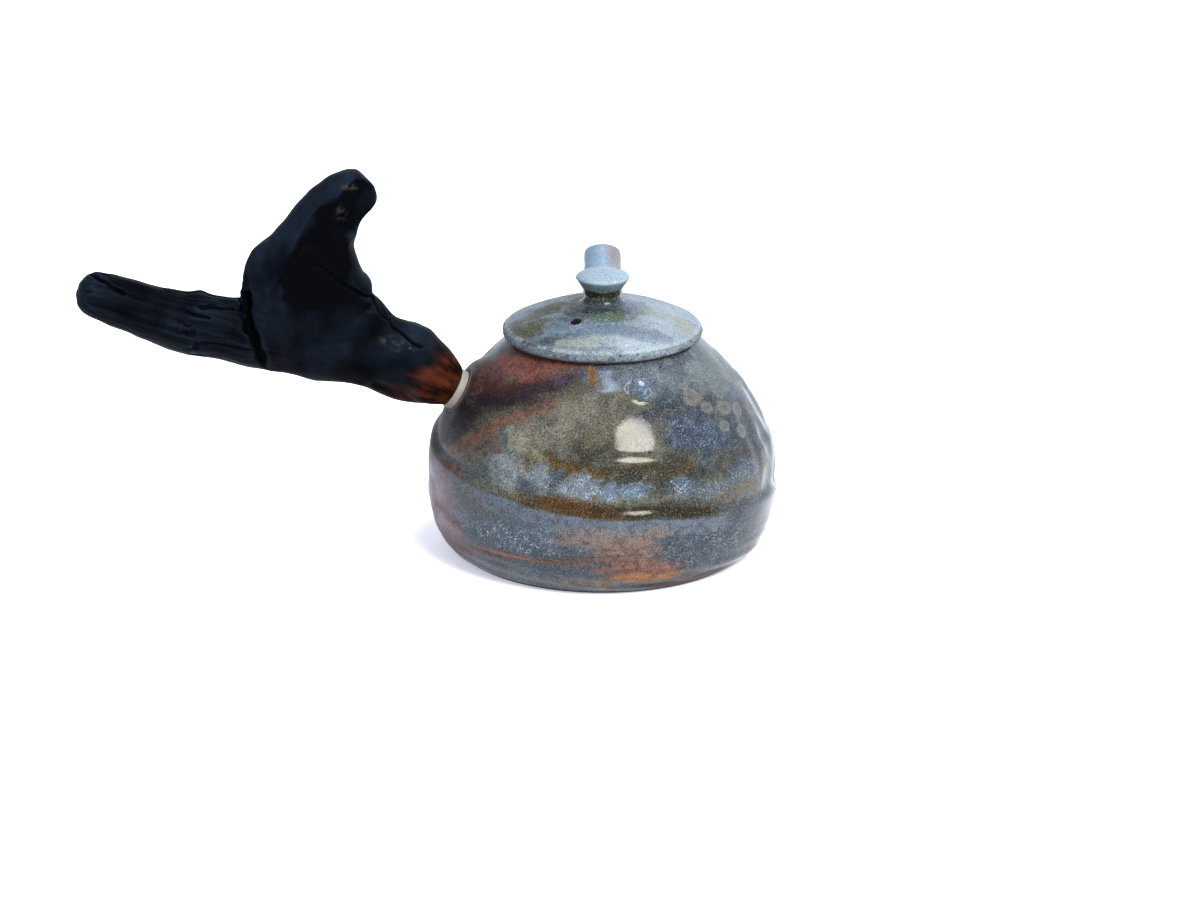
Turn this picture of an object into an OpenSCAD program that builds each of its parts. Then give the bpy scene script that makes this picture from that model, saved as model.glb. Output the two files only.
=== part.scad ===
// Side-handled teapot of wood-fired stoneware, with a charred branch for a handle.
// All sizes are millimetres. The origin is the centre of the foot, on the table.
// +Z is up, +Y points to the spout, and the handle leaves on the -X side.

/* [Body] */
// Widest diameter of the body
belly_d = 112; // [100:1:124]
// Height of the widest part above the table
belly_z = 26; // [20:1:32]
// Diameter of the flat foot
foot_d = 90; // [80:1:96]
// Height of the rim that the lid rests on
rim_z = 70.5; // [66:0.5:78]
// Width of the flat rim
rim_w = 3.5; // [2.5:0.5:5]
// Diameter of the mouth
mouth_d = 50; // [46:1:54]
// Thickness of the thrown wall
wall_t = 4; // [3:0.5:5]
// Thickness of the floor
floor_t = 5; // [4:0.5:7]
// Gap at the joints between luted clay pieces
lute_gap = 0.1; // [0.05:0.05:0.2]

/* [Spout] */
// Height where the axis of the spout leaves the wall
spout_z = 47.2; // [40:0.2:52]
// Upward tilt of the spout in degrees
spout_pitch = 46; // [40:1:52]
// Length of the spout from the wall to its mouth
spout_l = 39; // [32:1:44]
// Outside diameter of the flared foot of the spout
spout_base_d = 27; // [24:0.5:29]
// Outside diameter of the spout at its mouth
spout_tip_d = 12.4; // [11:0.2:14]
// Wall thickness at the mouth of the spout
spout_lip_t = 1.7; // [1.2:0.1:2]
// Wall thickness at the foot of the spout
spout_base_t = 3.5; // [2.5:0.5:5]
// Diameter of the hole in the body behind the spout
spout_hole_d = 18; // [14:1:19]

/* [Strainer] */
// Outside diameter of the strainer dome
strainer_d = 27; // [24:1:29]
// Thickness of the strainer dome
strainer_t = 2.2; // [1.8:0.2:3]
// Diameter of the strainer holes
strainer_hole_d = 2.2; // [1.6:0.2:2.4]

/* [Lid] */
// Diameter of the lid
lid_d = 63.6; // [60:0.2:68]
// Height of the edge of the lid
lid_edge_h = 2.8; // [2:0.2:4]
// Rise of the lid from its edge to its crown
lid_dome_h = 8.5; // [6:0.5:10]
// Thickness of the crown of the lid
lid_crown_t = 3; // [2.5:0.5:4]
// Gap between the flange of the lid and the mouth, on each side
flange_gap = 0.6; // [0.4:0.1:1]
// Thickness of the flange
flange_t = 2.4; // [2:0.2:3]
// Depth of the flange below the rim
flange_h = 6; // [4:0.5:8]
// Diameter of the steam hole
steam_hole_d = 2.6; // [2:0.2:3.2]
// Distance of the steam hole from the axis of the lid
steam_hole_r = 17.4; // [15:0.2:19]
// Direction of the steam hole, in degrees from +X
steam_hole_turn = 241.5; // [180:0.5:300]

/* [Knob] */
// Diameter of the flared foot of the knob
knob_foot_d = 16; // [14:0.5:18]
// Diameter of the waist of the knob
knob_waist_d = 11.4; // [9:0.2:13]
// Diameter of the cap of the knob
knob_cap_d = 17; // [15:0.5:20]
// Height of the waist above the foot of the knob
knob_waist_h = 4; // [3:0.5:5]
// Height of the widest part of the cap above the foot of the knob
knob_cap_h = 8.2; // [7:0.2:11]
// Rise of the top of the cap
knob_crown_h = 1.8; // [1:0.2:2.6]

/* [Handle socket] */
// Height where the axis of the handle leaves the wall
socket_z = 53.5; // [48:0.5:57]
// Upward tilt of the axis of the handle in degrees
handle_pitch = 30; // [24:1:36]
// Turn of the handle from -X towards the front, in degrees
handle_yaw = 8; // [0:1:15]
// How far the face of the socket stands out from the wall
socket_proud = 0.5; // [0.3:0.1:2]
// Wall thickness of the socket
socket_t = 2.5; // [2:0.5:3]
// Spread of the flare around the face of the socket
socket_flare = 3; // [2:0.5:4]
// Diameter of the dowel that carries the handle
dowel_d = 8; // [7:0.5:9]
// Depth of the dowel in the socket
dowel_in_socket = 13.5; // [10:0.5:16]
// Depth of the dowel in the wood
dowel_in_wood = 14; // [10:0.5:16]
// Thickness of the sleeve of the collar around the dowel
sleeve_t = 1.1; // [0.8:0.1:1.5]
// Outside diameter of the pale collar
collar_d = 13; // [12.5:0.5:15]
// Length of the collar between the socket and the wood
collar_l = 2.4; // [1.8:0.2:4]
// Radial gap around the dowel and the sleeve
fit_gap = 0.05; // [0.03:0.01:0.1]

/* [Branch handle] */
// Reach of the branch from the collar to its tail
tail_reach = 116; // [100:1:130]
// Rise of the tail above the collar
tail_rise = 36; // [28:1:44]
// Distance of the root of the prong from the collar
prong_root = 45; // [40:1:50]
// Rise of the tip of the prong above the collar
prong_rise = 71; // [60:1:80]
// Half height of the limb at its thickest, seen from the side
limb_half_h = 15.4; // [13:0.2:18]
// Half width of the prong at its widest, seen from the side
prong_half_w = 20.4; // [17:0.2:23]
// Half thickness of the branch at its thickest, seen from above
branch_half_t = 12; // [10:0.5:14]

/* [Hidden] */
$fn = 96;

belly_r = belly_d / 2;
foot_r = foot_d / 2;
mouth_r = mouth_d / 2;
rim_r = mouth_r + rim_w;
// Roundness of the lower wall: 1 is an elliptic quarter, 2 a straight cone
foot_power = 1.4;
foot_steps = 10;
shoulder_steps = 18;
// Overshoot of cutting solids
cut = 1;
// Reach of the holes in the wall, to each side of its outer surface
hole_reach = 3 * wall_t;

lid_r = lid_d / 2;
lid_edge_z = rim_z + lid_edge_h;
flange_r = mouth_r - flange_gap;
hollow_r = flange_r - flange_t;
// Flat pad on the crown that the knob is luted to
pad_margin = 0.5;
pad_r = knob_foot_d / 2 + pad_margin;
pad_z = lid_top(pad_r);
lid_steps = 12;
// Rounding of the rim of the lid
lid_edge_round = 0.9;

// Room beyond each end of the dowel
dowel_end_gap = 0.5;
socket_bore_r = dowel_d / 2 + fit_gap + sleeve_t + fit_gap;
socket_plug_r = socket_bore_r + socket_t;
socket_floor = dowel_in_socket + dowel_end_gap;
// Distance of the wood's end face from the wall, along the axis of the handle
wood_face = socket_proud + collar_l;

// Height of the lid's upper surface at radius r
function lid_top(r) = lid_edge_z + lid_dome_h * (1 - pow(r / lid_r, 2));

// Outline of the wall, as [radius, height], from the foot to the rim
function foot_point(a) = [
    foot_r + (belly_r - foot_r) * pow(cos(a), foot_power),
    belly_z * (1 - sin(a)),
];
function shoulder_r(z) = rim_r + (belly_r - rim_r) * (1 - pow((z - belly_z) / (rim_z - belly_z), 2));
function shoulder_point(t) = let (z = belly_z + t * (rim_z - belly_z)) [shoulder_r(z), z];
function wall_points() = concat(
    [for (i = [0:foot_steps - 1]) foot_point(90 * (1 - i / foot_steps))],
    [for (i = [0:shoulder_steps]) shoulder_point(i / shoulder_steps)]
);
// The outline moved outwards by a distance, square to itself
function moved_outline(points, by) = [
    for (i = [0:len(points) - 1])
        let (
            before = points[max(i - 1, 0)],
            after = points[min(i + 1, len(points) - 1)],
            along = (after - before) / norm(after - before)
        )
        points[i] + by * [along[1], -along[0]]
];

// Solid of revolution that fills the wall's outline, grown by a distance
module wall_solid(grow = 0) {
    outline = moved_outline(wall_points(), grow);
    top = outline[len(outline) - 1];
    rotate_extrude()
        polygon(concat([[0, outline[0][1]]], outline, [[0, top[1]]]));
}

// The hollow inside the wall, drawn in by a distance
module cavity_solid(shrink = 0) {
    inside = moved_outline(wall_points(), -wall_t - shrink);
    kept = [for (p = inside) if (p[1] > floor_t + shrink && p[0] > mouth_r - shrink) p];
    last = kept[len(kept) - 1];
    rotate_extrude()
        polygon(concat(
            [[0, floor_t + shrink], [kept[0][0], floor_t + shrink]],
            kept,
            [[mouth_r - shrink, last[1]], [mouth_r - shrink, rim_z + cut], [0, rim_z + cut]]
        ));
}

// Places children on the axis of the spout: their origin on the wall, their +Z outwards
module on_spout_axis() {
    translate([0, shoulder_r(spout_z), spout_z])
        rotate([spout_pitch - 90, 0, 0])
            children();
}

// Places children on the axis of the handle: their origin on the wall, their +Z outwards
module on_handle_axis() {
    rotate(handle_yaw)
        translate([-shoulder_r(socket_z), 0, socket_z])
            rotate([0, handle_pitch - 90, 0])
                children();
}

// Thrown pot: the wall, the floor and the rim, with holes for the spout and the socket
module pot_body() {
    color("#67747a")
        difference() {
            wall_solid();
            cavity_solid();
            on_spout_axis()
                translate([0, 0, -hole_reach])
                    cylinder(d = spout_hole_d, h = 2 * hole_reach);
            on_handle_axis()
                translate([0, 0, -hole_reach])
                    cylinder(r = socket_plug_r + lute_gap, h = 2 * hole_reach);
        }
}

// Radius of the spout at a distance from the wall, between its foot and its mouth
spout_steps = 12;
spout_root = -8;
function spout_taper(base_r, tip_r, s) = tip_r + (base_r - tip_r) * pow(1 - s / spout_l, 2);
module spout_form(base_r, tip_r, over) {
    span = spout_l + over - spout_root;
    rotate_extrude()
        polygon(concat(
            [[0, spout_root]],
            [for (i = [0:spout_steps])
                let (s = spout_root + span * i / spout_steps)
                [spout_taper(base_r, tip_r, min(s, spout_l)), s]],
            [[0, spout_l + over]]
        ));
}

// Thrown spout, trimmed to sit on the wall
module spout() {
    color("#76828a")
        difference() {
            on_spout_axis()
                difference() {
                    spout_form(spout_base_d / 2, spout_tip_d / 2, 0);
                    spout_form(spout_base_d / 2 - spout_base_t, spout_tip_d / 2 - spout_lip_t, cut);
                }
            wall_solid(lute_gap);
        }
}

// Perforated dome over the spout's hole, inside the pot. Its bands are cones, and each ring of
// holes, as [degrees from the middle of the dome, number of holes], sits on the middle of a band.
strainer_rings = [[9, 3], [27, 8], [45, 12]];
strainer_bands = 5;
strainer_skirt = 8;
strainer_r = strainer_d / 2;
module strainer_form(r, over) {
    rotate_extrude()
        polygon(concat(
            [for (i = [0:strainer_bands]) let (a = 90 * i / strainer_bands) [r * sin(a), -r * cos(a)]],
            [[r, strainer_skirt + over], [0, strainer_skirt + over]]
        ));
}
module strainer() {
    color("#8f8378")
        intersection() {
            cavity_solid(lute_gap);
            on_spout_axis()
                translate([0, 0, -wall_t])
                    difference() {
                        strainer_form(strainer_r, 0);
                        strainer_form(strainer_r - strainer_t, cut);
                        for (ring = strainer_rings, i = [0:ring[1] - 1])
                            rotate([0, 0, 360 * (i + 0.5) / ring[1]])
                                rotate([0, 180 - ring[0], 0])
                                    translate([0, 0, strainer_r - strainer_t - cut])
                                        cylinder(d = strainer_hole_d, h = strainer_t + 2 * cut, $fn = 24);
                    }
        }
}

// Clay thimble let into the wall, closed inside, with a flare on the outside of the wall
module handle_socket() {
    flare_depth = socket_flare * 2;
    color("#4d4a4e")
        difference() {
            union() {
                on_handle_axis()
                    translate([0, 0, -socket_floor - socket_t])
                        cylinder(r = socket_plug_r, h = socket_floor + socket_t + socket_proud);
                difference() {
                    on_handle_axis()
                        translate([0, 0, -flare_depth])
                            cylinder(r1 = socket_plug_r + flare_depth, r2 = socket_plug_r,
                                h = flare_depth + socket_proud);
                    wall_solid(lute_gap);
                }
            }
            on_handle_axis()
                translate([0, 0, -socket_floor])
                    cylinder(r = socket_bore_r, h = socket_floor + socket_proud + cut);
        }
}

// Pale bush between the clay and the wood: a sleeve round the dowel and the ring that shows
module collar_bush() {
    color("#cfc8b8")
        on_handle_axis()
            difference() {
                union() {
                    translate([0, 0, socket_proud])
                        cylinder(d = collar_d, h = collar_l);
                    translate([0, 0, -dowel_in_socket])
                        cylinder(r = socket_bore_r - fit_gap,
                            h = dowel_in_socket + socket_proud + collar_l / 2);
                }
                translate([0, 0, -dowel_in_socket - cut])
                    cylinder(r = dowel_d / 2 + fit_gap, h = dowel_in_socket + wood_face + 2 * cut);
            }
}

// Turned dowel that joins the branch to the socket
module tenon_dowel() {
    color("#a9825a")
        on_handle_axis()
            translate([0, 0, -dowel_in_socket])
                cylinder(d = dowel_d, h = dowel_in_socket + wood_face + dowel_in_wood);
}

// Stations of the limb, from the collar to the tail, as shares of
// [the reach, the rise, the half height, the half thickness, the half thickness again for the sideways bend]
limb_stations = [
    [0.000, 0.000, collar_d / 2 / limb_half_h, collar_d / 2 / branch_half_t, 0],
    [0.026, 0.061, 0.54, 0.66, 0],
    [0.060, 0.135, 0.67, 0.78, 0],
    [0.098, 0.214, 0.75, 0.88, -0.02],
    [0.141, 0.295, 0.79, 0.94, -0.05],
    [0.192, 0.365, 0.81, 0.98, -0.07],
    [0.248, 0.480, 1.00, 1.00, -0.07],
    [0.325, 0.490, 0.91, 1.00, -0.03],
    [0.419, 0.505, 0.78, 0.98, 0.03],
    [0.513, 0.540, 0.71, 0.92, 0.12],
    [0.607, 0.610, 0.69, 0.85, 0.22],
    [0.705, 0.680, 0.66, 0.80, 0.28],
    [0.803, 0.770, 0.60, 0.75, 0.32],
    [0.897, 0.890, 0.55, 0.70, 0.32],
    [0.957, 0.962, 0.47, 0.62, 0.30],
    [0.986, 0.994, 0.36, 0.47, 0.29],
    [0.998, 1.008, 0.19, 0.25, 0.28],
];
// Stations of the prong, from its root to its tip, as shares of
// [the rise for the way out, the rise, the half width, the half thickness, the half thickness for the bend]
prong_stations = [
    [0.014, 0.20, 0.74, 0.80, -0.05],
    [0.014, 0.31, 0.93, 0.96, -0.10],
    [0.008, 0.46, 1.00, 1.02, -0.13],
    [0.008, 0.57, 0.93, 1.02, -0.15],
    [-0.028, 0.66, 0.70, 0.98, -0.17],
    [-0.070, 0.78, 0.51, 0.90, -0.17],
    [-0.131, 0.865, 0.44, 0.82, -0.17],
    [-0.194, 0.925, 0.40, 0.74, -0.18],
    [-0.231, 0.965, 0.32, 0.62, -0.20],
    [-0.259, 0.99, 0.18, 0.36, -0.21],
];
branch_sides = 18;
// Size of the lumps on the branch, as a share of its half thickness
branch_lumps = 0.03;
// Turn of the lumps from one end of a limb to the other, in degrees
lump_turn = 460;
rings_per_station = 2;

// Value of a smooth curve through a list, at a place counted in stations
function at(list, i) = list[min(max(i, 0), len(list) - 1)];
function smooth(list, place) =
    let (i = min(floor(place), len(list) - 2), t = place - i,
        a = at(list, i - 1), b = at(list, i), c = at(list, i + 1), d = at(list, i + 2))
    b + 0.5 * t * (c - a + t * (2 * a - 5 * b + 4 * c - d + t * (3 * (b - c) + d - a)));

// The end face of the wood, as [distance out, height]
wood_at = [
    shoulder_r(socket_z) + wood_face * cos(handle_pitch),
    socket_z + wood_face * sin(handle_pitch),
];
// Stations as [distance out, height, half height, half thickness, sideways]
limb = [for (s = limb_stations) [
    wood_at[0] + tail_reach * s[0],
    wood_at[1] + tail_rise * s[1],
    limb_half_h * s[2],
    branch_half_t * s[3],
    branch_half_t * s[4],
]];
prong = [for (s = prong_stations) [
    wood_at[0] + prong_root + prong_rise * s[0],
    wood_at[1] + prong_rise * s[1],
    prong_half_w * s[2],
    branch_half_t * s[3],
    branch_half_t * s[4],
]];

// One ring of the branch: an oval square to the way it grows, with soft lumps that turn along it
function ring(s, way, lumps, turn) = [
    for (k = [0:branch_sides - 1])
        let (
            a = 360 * k / branch_sides,
            swell = 1 + lumps * (sin(3 * a + turn) + cos(2 * a - turn)),
            up = s[2] * sin(a) * swell
        )
        [-(s[0] - way[1] * up), s[4] + s[3] * cos(a) * swell, s[1] + way[0] * up]
];
// All rings of a limb; the first one is square to the given direction
function rings_of(stations, first_way, lumps) =
    let (count = (len(stations) - 1) * rings_per_station)
    [for (j = [0:count])
        let (
            here = smooth(stations, j / rings_per_station),
            after = smooth(stations, min(j + 0.5, count) / rings_per_station),
            before = smooth(stations, max(j - 0.5, 0) / rings_per_station),
            run = [after[0] - before[0], after[1] - before[1]]
        )
        ring(here, j == 0 ? first_way : run / norm(run), lumps * min(1, j / 6), lump_turn * j / count)];

// A closed skin over a row of rings, each with the same number of points
module skin(rings) {
    n = len(rings[0]);
    last = len(rings) - 1;
    points = concat([for (r = rings) each r], [for (r = [rings[0], rings[last]]) [for (p = r) 1 / n] * r]);
    sides = [
        for (j = [0:last - 1], k = [0:n - 1])
            let (a = j * n + k, b = j * n + (k + 1) % n)
            each [[a, b, b + n], [a, b + n, a + n]]
    ];
    start_cap = [for (k = [0:n - 1]) [(k + 1) % n, k, len(points) - 2]];
    end_cap = [for (k = [0:n - 1]) [last * n + k, last * n + (k + 1) % n, len(points) - 1]];
    polyhedron(points = points, faces = concat(sides, start_cap, end_cap), convexity = 6);
}

// Forked branch: one limb from the collar to the tail, the prong on top, bored for the dowel
module branch_handle() {
    color("#15181d")
        difference() {
            rotate(handle_yaw)
                resize([0, 0, 0])
                    union() {
                        skin(rings_of(limb, [cos(handle_pitch), sin(handle_pitch)], branch_lumps));
                        skin(rings_of(prong, [0, 1], branch_lumps));
                    }
            on_handle_axis()
                translate([0, 0, wood_face - cut])
                    cylinder(r = dowel_d / 2 + fit_gap, h = dowel_in_wood + cut + dowel_end_gap);
        }
}

// Flat lid with a low crown, hollow underneath, with its steam hole
module lid_disc() {
    color("#8d9a9c")
        difference() {
            rotate_extrude()
                polygon(concat(
                    [[hollow_r, rim_z], [lid_r - lid_edge_round, rim_z], [lid_r, rim_z + lid_edge_round],
                        [lid_r, lid_edge_z]],
                    [for (i = [1:lid_steps])
                        let (r = lid_r + (pad_r - lid_r) * i / lid_steps) [r, lid_top(r)]],
                    [[0, pad_z], [0, pad_z - lid_crown_t]],
                    [for (i = [0:lid_steps])
                        let (r = pad_r + (hollow_r - pad_r) * i / lid_steps) [r, lid_top(r) - lid_crown_t]]
                ));
            rotate(steam_hole_turn)
                translate([steam_hole_r, 0, rim_z - cut])
                    cylinder(d = steam_hole_d, h = lid_edge_h + lid_dome_h + 2 * cut, $fn = 32);
        }
}

// Ring under the lid that keeps it in the mouth
module lid_flange() {
    color("#8a8f8c")
        translate([0, 0, rim_z - flange_h])
            difference() {
                cylinder(r = flange_r, h = flange_h);
                translate([0, 0, -cut])
                    cylinder(r = hollow_r, h = flange_h + 2 * cut);
            }
}

// Knob: a flared foot, a waist and a wide cap with a low crown
knob_steps = 8;
module knob_outline() {
    foot_r = knob_foot_d / 2;
    waist_r = knob_waist_d / 2;
    cap_r = knob_cap_d / 2;
    polygon(concat(
        [[0, 0]],
        [for (i = [0:knob_steps]) let (a = 90 * i / knob_steps)
            [foot_r - (foot_r - waist_r) * sin(a), knob_waist_h * (1 - cos(a))]],
        [for (i = [1:knob_steps]) let (t = i / knob_steps)
            [waist_r + (cap_r - waist_r) * pow(t, 0.8), knob_waist_h + (knob_cap_h - knob_waist_h) * t]],
        [for (i = [1:knob_steps]) let (a = 90 * i / knob_steps)
            [cap_r * cos(a), knob_cap_h + knob_crown_h * sin(a)]]
    ));
}
module lid_knob() {
    color("#9aa6aa")
        translate([0, 0, pad_z])
            rotate_extrude() knob_outline();
}

pot_body();
spout();
strainer();
handle_socket();
collar_bush();
tenon_dowel();
branch_handle();
lid_disc();
lid_flange();
lid_knob();
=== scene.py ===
# %% [markdown]
# # A side-handled teapot with a branch for a handle
# A low stoneware teapot, thrown on a wheel and fired with wood. Ash flew through the kiln, melted on the
# shoulder, ran down and pooled in the throwing rings. The handle is a forked branch, charred and oiled.
# The construction is loaded as a fixed frame, and each visible piece is then modelled over its own node.
# All sizes below are millimetres; MM turns them into the metres that Blender keeps.

import bpy
import numpy as np
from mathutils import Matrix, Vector


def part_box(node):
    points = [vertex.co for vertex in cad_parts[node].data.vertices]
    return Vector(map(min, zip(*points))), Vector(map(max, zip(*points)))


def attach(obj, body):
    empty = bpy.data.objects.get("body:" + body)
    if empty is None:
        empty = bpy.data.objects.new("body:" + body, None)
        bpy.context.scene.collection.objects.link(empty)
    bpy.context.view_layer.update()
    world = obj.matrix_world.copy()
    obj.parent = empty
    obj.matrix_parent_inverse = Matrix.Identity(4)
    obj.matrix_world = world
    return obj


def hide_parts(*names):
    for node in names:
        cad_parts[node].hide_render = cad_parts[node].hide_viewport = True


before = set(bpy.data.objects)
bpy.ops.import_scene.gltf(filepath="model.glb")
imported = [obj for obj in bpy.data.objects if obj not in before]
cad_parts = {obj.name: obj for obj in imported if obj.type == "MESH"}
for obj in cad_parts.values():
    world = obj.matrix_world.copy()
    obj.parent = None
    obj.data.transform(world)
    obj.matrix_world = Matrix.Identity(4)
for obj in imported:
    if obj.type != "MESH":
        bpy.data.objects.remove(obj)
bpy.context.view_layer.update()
MM = 0.001


def box_mm(node):
    """Lowest and highest corner of a construction node, in millimetres."""
    low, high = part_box(node)
    return np.array(low) / MM, np.array(high) / MM


print("construction nodes:", ", ".join(sorted(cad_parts)))

# %% [markdown]
# ## The camera
# The photograph was taken from about 1.3 m away, looking down 19 degrees: those two numbers make the
# ellipses of the lid and the foot come out right. A camera could be aimed with a constraint, but a place
# and one turn about X say the same with nothing left live.

# %% Camera
CAMERA_TILT = np.radians(19)
CAMERA_DISTANCE = 1300
VIEW_WIDTH = 384
SENSOR_WIDTH = 36
PHOTO_SIZE = (1200, 900)
PIXEL_MM = VIEW_WIDTH / PHOTO_SIZE[0]
AIM = np.array([-0.8, 0, 31.6])

to_camera = np.array([0, -np.cos(CAMERA_TILT), np.sin(CAMERA_TILT)])
camera_up = np.array([0, np.sin(CAMERA_TILT), np.cos(CAMERA_TILT)])
camera = bpy.data.objects.new("photo_camera", bpy.data.cameras.new("photo_camera"))
camera.data.sensor_width = SENSOR_WIDTH
camera.data.lens = SENSOR_WIDTH * CAMERA_DISTANCE / VIEW_WIDTH
camera.location = (AIM + CAMERA_DISTANCE * to_camera) * MM
camera.rotation_euler = (np.pi / 2 - CAMERA_TILT, 0, 0)
bpy.context.scene.collection.objects.link(camera)
bpy.context.scene.camera = camera


def photo_pixels(points):
    """Where points fall in the 1200 x 900 frame: what lies across and up from the aim, over its depth."""
    away = points - AIM
    scale = CAMERA_DISTANCE / (CAMERA_DISTANCE - away @ to_camera) / PIXEL_MM
    return np.stack([PHOTO_SIZE[0] / 2 + away[..., 0] * scale,
                     PHOTO_SIZE[1] / 2 - away @ camera_up * scale], -1)


print("lens in mm:", round(camera.data.lens, 1), " foot of the pot at", photo_pixels(np.zeros(3)).round(1))

# %% [markdown]
# ## Colours and nodes
# Colours are picked as sRGB hex values, as any paint program shows them, but shaders add light in linear
# values, so one function converts them. A second one adds a node with its settings and links, which keeps
# each material down to a short list of what it is made of.

# %% Colour and node helpers
def srgb(hex_colour):
    """Linear red, green, blue and alpha of a hex colour such as "#8a8f93"."""
    parts = np.array([int(hex_colour[i:i + 2], 16) for i in (1, 3, 5)]) / 255
    linear = np.where(parts <= 0.04045, parts / 12.92, ((parts + 0.055) / 1.055) ** 2.4)
    return (*linear, 1.0)


def add_node(tree, kind, inputs=None, **settings):
    """Adds a shader node, sets its properties, and gives each input a value, or a link from a socket or from
    the main output of another node."""
    made = tree.nodes.new("ShaderNode" + kind)
    for name, value in settings.items():
        setattr(made, name, value)
    for name, value in (inputs or {}).items():
        if isinstance(value, bpy.types.Node):
            value = value.outputs[MIX_OUT if value.bl_idname == "ShaderNodeMix" else 0]
        if isinstance(value, bpy.types.NodeSocket):
            tree.links.new(value, made.inputs[name])
        else:
            made.inputs[name].default_value = value
    return made


def new_material(name):
    """An empty node material, and its tree."""
    material = bpy.data.materials.new(name)
    material.use_nodes = True
    material.node_tree.nodes.clear()
    return material, material.node_tree


# Inputs and output of a Mix node that blends colours
MIX_A, MIX_B, MIX_OUT = 6, 7, 2
# Object coordinates are metres, and the patterns count in millimetres
PER_MM = (1 / MM,) * 3

# %% [markdown]
# ## Meshes from grids
# Thrown and turned pieces, and the limbs of the branch, are all rings of points along a path. A grid of
# points [row, column] whose columns close on themselves therefore serves for every piece. A modeller could
# spin a curve instead, but with arrays the formula of the shape, and every dent in it, stays in view.

# %% Grid and mesh helpers
def skin(grid, loop=False):
    """Points and faces over a grid [row, column]. Columns run round. With loop the last row joins the first,
    as on a ring; otherwise a fan to a middle point closes each end."""
    rows, around, _ = grid.shape
    column = np.arange(around)
    after = (column + 1) % around
    row = np.arange(rows if loop else rows - 1)[:, None] * around
    above = (row + around) % (rows * around)
    quads = np.stack([row + column, row + after, above + after, above + column], -1).reshape(-1, 4)
    points = grid.reshape(-1, 3)
    if loop:
        return points, quads.tolist()
    points = np.concatenate([points, [grid[0].mean(0), grid[-1].mean(0)]])
    last = (rows - 1) * around
    start = np.stack([after, column, np.full(around, len(points) - 2)], -1)
    end = np.stack([last + column, last + after, np.full(around, len(points) - 1)], -1)
    return points, quads.tolist() + start.tolist() + end.tolist()


def turned(outline, around, origin=(0, 0, 0), along=(0, 0, 1), side=(1, 0, 0)):
    """Surface of revolution: origin + r cos(turn) side + r sin(turn) (along x side) + height along,
    for an outline of rows [r, height] that runs with the solid on its left."""
    turn = np.linspace(0, 2 * np.pi, around, endpoint=False)[None, :, None]
    r, height = outline[:, 0, None, None], outline[:, 1, None, None]
    along, side = np.array(along, float), np.array(side, float)
    spoke = np.cos(turn) * side + np.sin(turn) * np.cross(along, side)
    return np.array(origin) + r * spoke + height * along


def make_piece(name, points, faces):
    """A smooth-shaded mesh object at the origin, from points in millimetres."""
    mesh = bpy.data.meshes.new(name)
    mesh.from_pydata((points * MM).tolist(), [], faces)
    mesh.shade_smooth()
    piece = bpy.data.objects.new(name, mesh)
    bpy.context.scene.collection.objects.link(piece)
    return piece


# %% [markdown]
# ## Chance, kept the same each run
# Clay, ash and fire are never even. Random numbers on a cubic lattice, blended smoothly, give soft noise
# that can be as coarse as a finger mark or as fine as a grain. The numbers come from a seed, so each run
# makes the same pot.

# %% Noise helpers
LATTICE = 32


def soft_noise(points, size, seed):
    """Noise from -1 to 1: random values on a lattice of `size` mm, blended between its corners by a
    smoothstep. Size may be three numbers, for noise that is drawn out along an axis."""
    cell = points / np.asarray(size, float)
    corner = np.floor(cell).astype(int)
    t = cell - corner
    t = t * t * (3 - 2 * t)
    table = np.random.default_rng(seed).uniform(-1, 1, (LATTICE,) * 3)
    total = np.zeros(len(points))
    for step in np.ndindex(2, 2, 2):
        at = (corner + step) % LATTICE
        total += np.where(step, t, 1 - t).prod(-1) * table[at[:, 0], at[:, 1], at[:, 2]]
    return total


def noise_sum(points, *parts):
    """Soft noises added up, each given as its height, size and seed."""
    return sum(height * soft_noise(points, size, seed) for height, size, seed in parts)


def fade(low, high, value):
    """Smoothstep from 0 at `low` to 1 at `high`; low may be the larger one."""
    t = np.clip((value - low) / (high - low), 0, 1)
    return t * t * (3 - 2 * t)


# %% [markdown]
# ## Floor and light
# The pot stands on white paper in a bright room. The room is brightest behind the pot, to the right, and
# dimmer in front, so that the glaze mirrors little but the lamps. A round softbox lights the front from the
# right, and a narrow skylight shows only on the ledges of the wall. Each lamp is placed by mirroring the line
# of sight in the wall, where its reflection is to fall.

# %% Floor
FLOOR_RADIUS = 6000
FLOOR_SIDES = 64
floor_edge = turned(np.array([[FLOOR_RADIUS, 0]]), FLOOR_SIDES)[0]
floor = make_piece("studio_floor", floor_edge, [list(range(FLOOR_SIDES))])

# Matte white paper: bright all over, with no gloss of its own
paper, tree = new_material("white_paper")
paper_shader = add_node(tree, "BsdfPrincipled", {
    "Base Color": srgb("#f4f4f6"), "Roughness": 0.9, "Specular IOR Level": 0.1,
    "Emission Color": srgb("#f2f0ff"), "Emission Strength": 0.4})
add_node(tree, "OutputMaterial", {"Surface": paper_shader})
floor.data.materials.append(paper)
print("floor:", 2 * FLOOR_RADIUS * MM, "m across")

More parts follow.
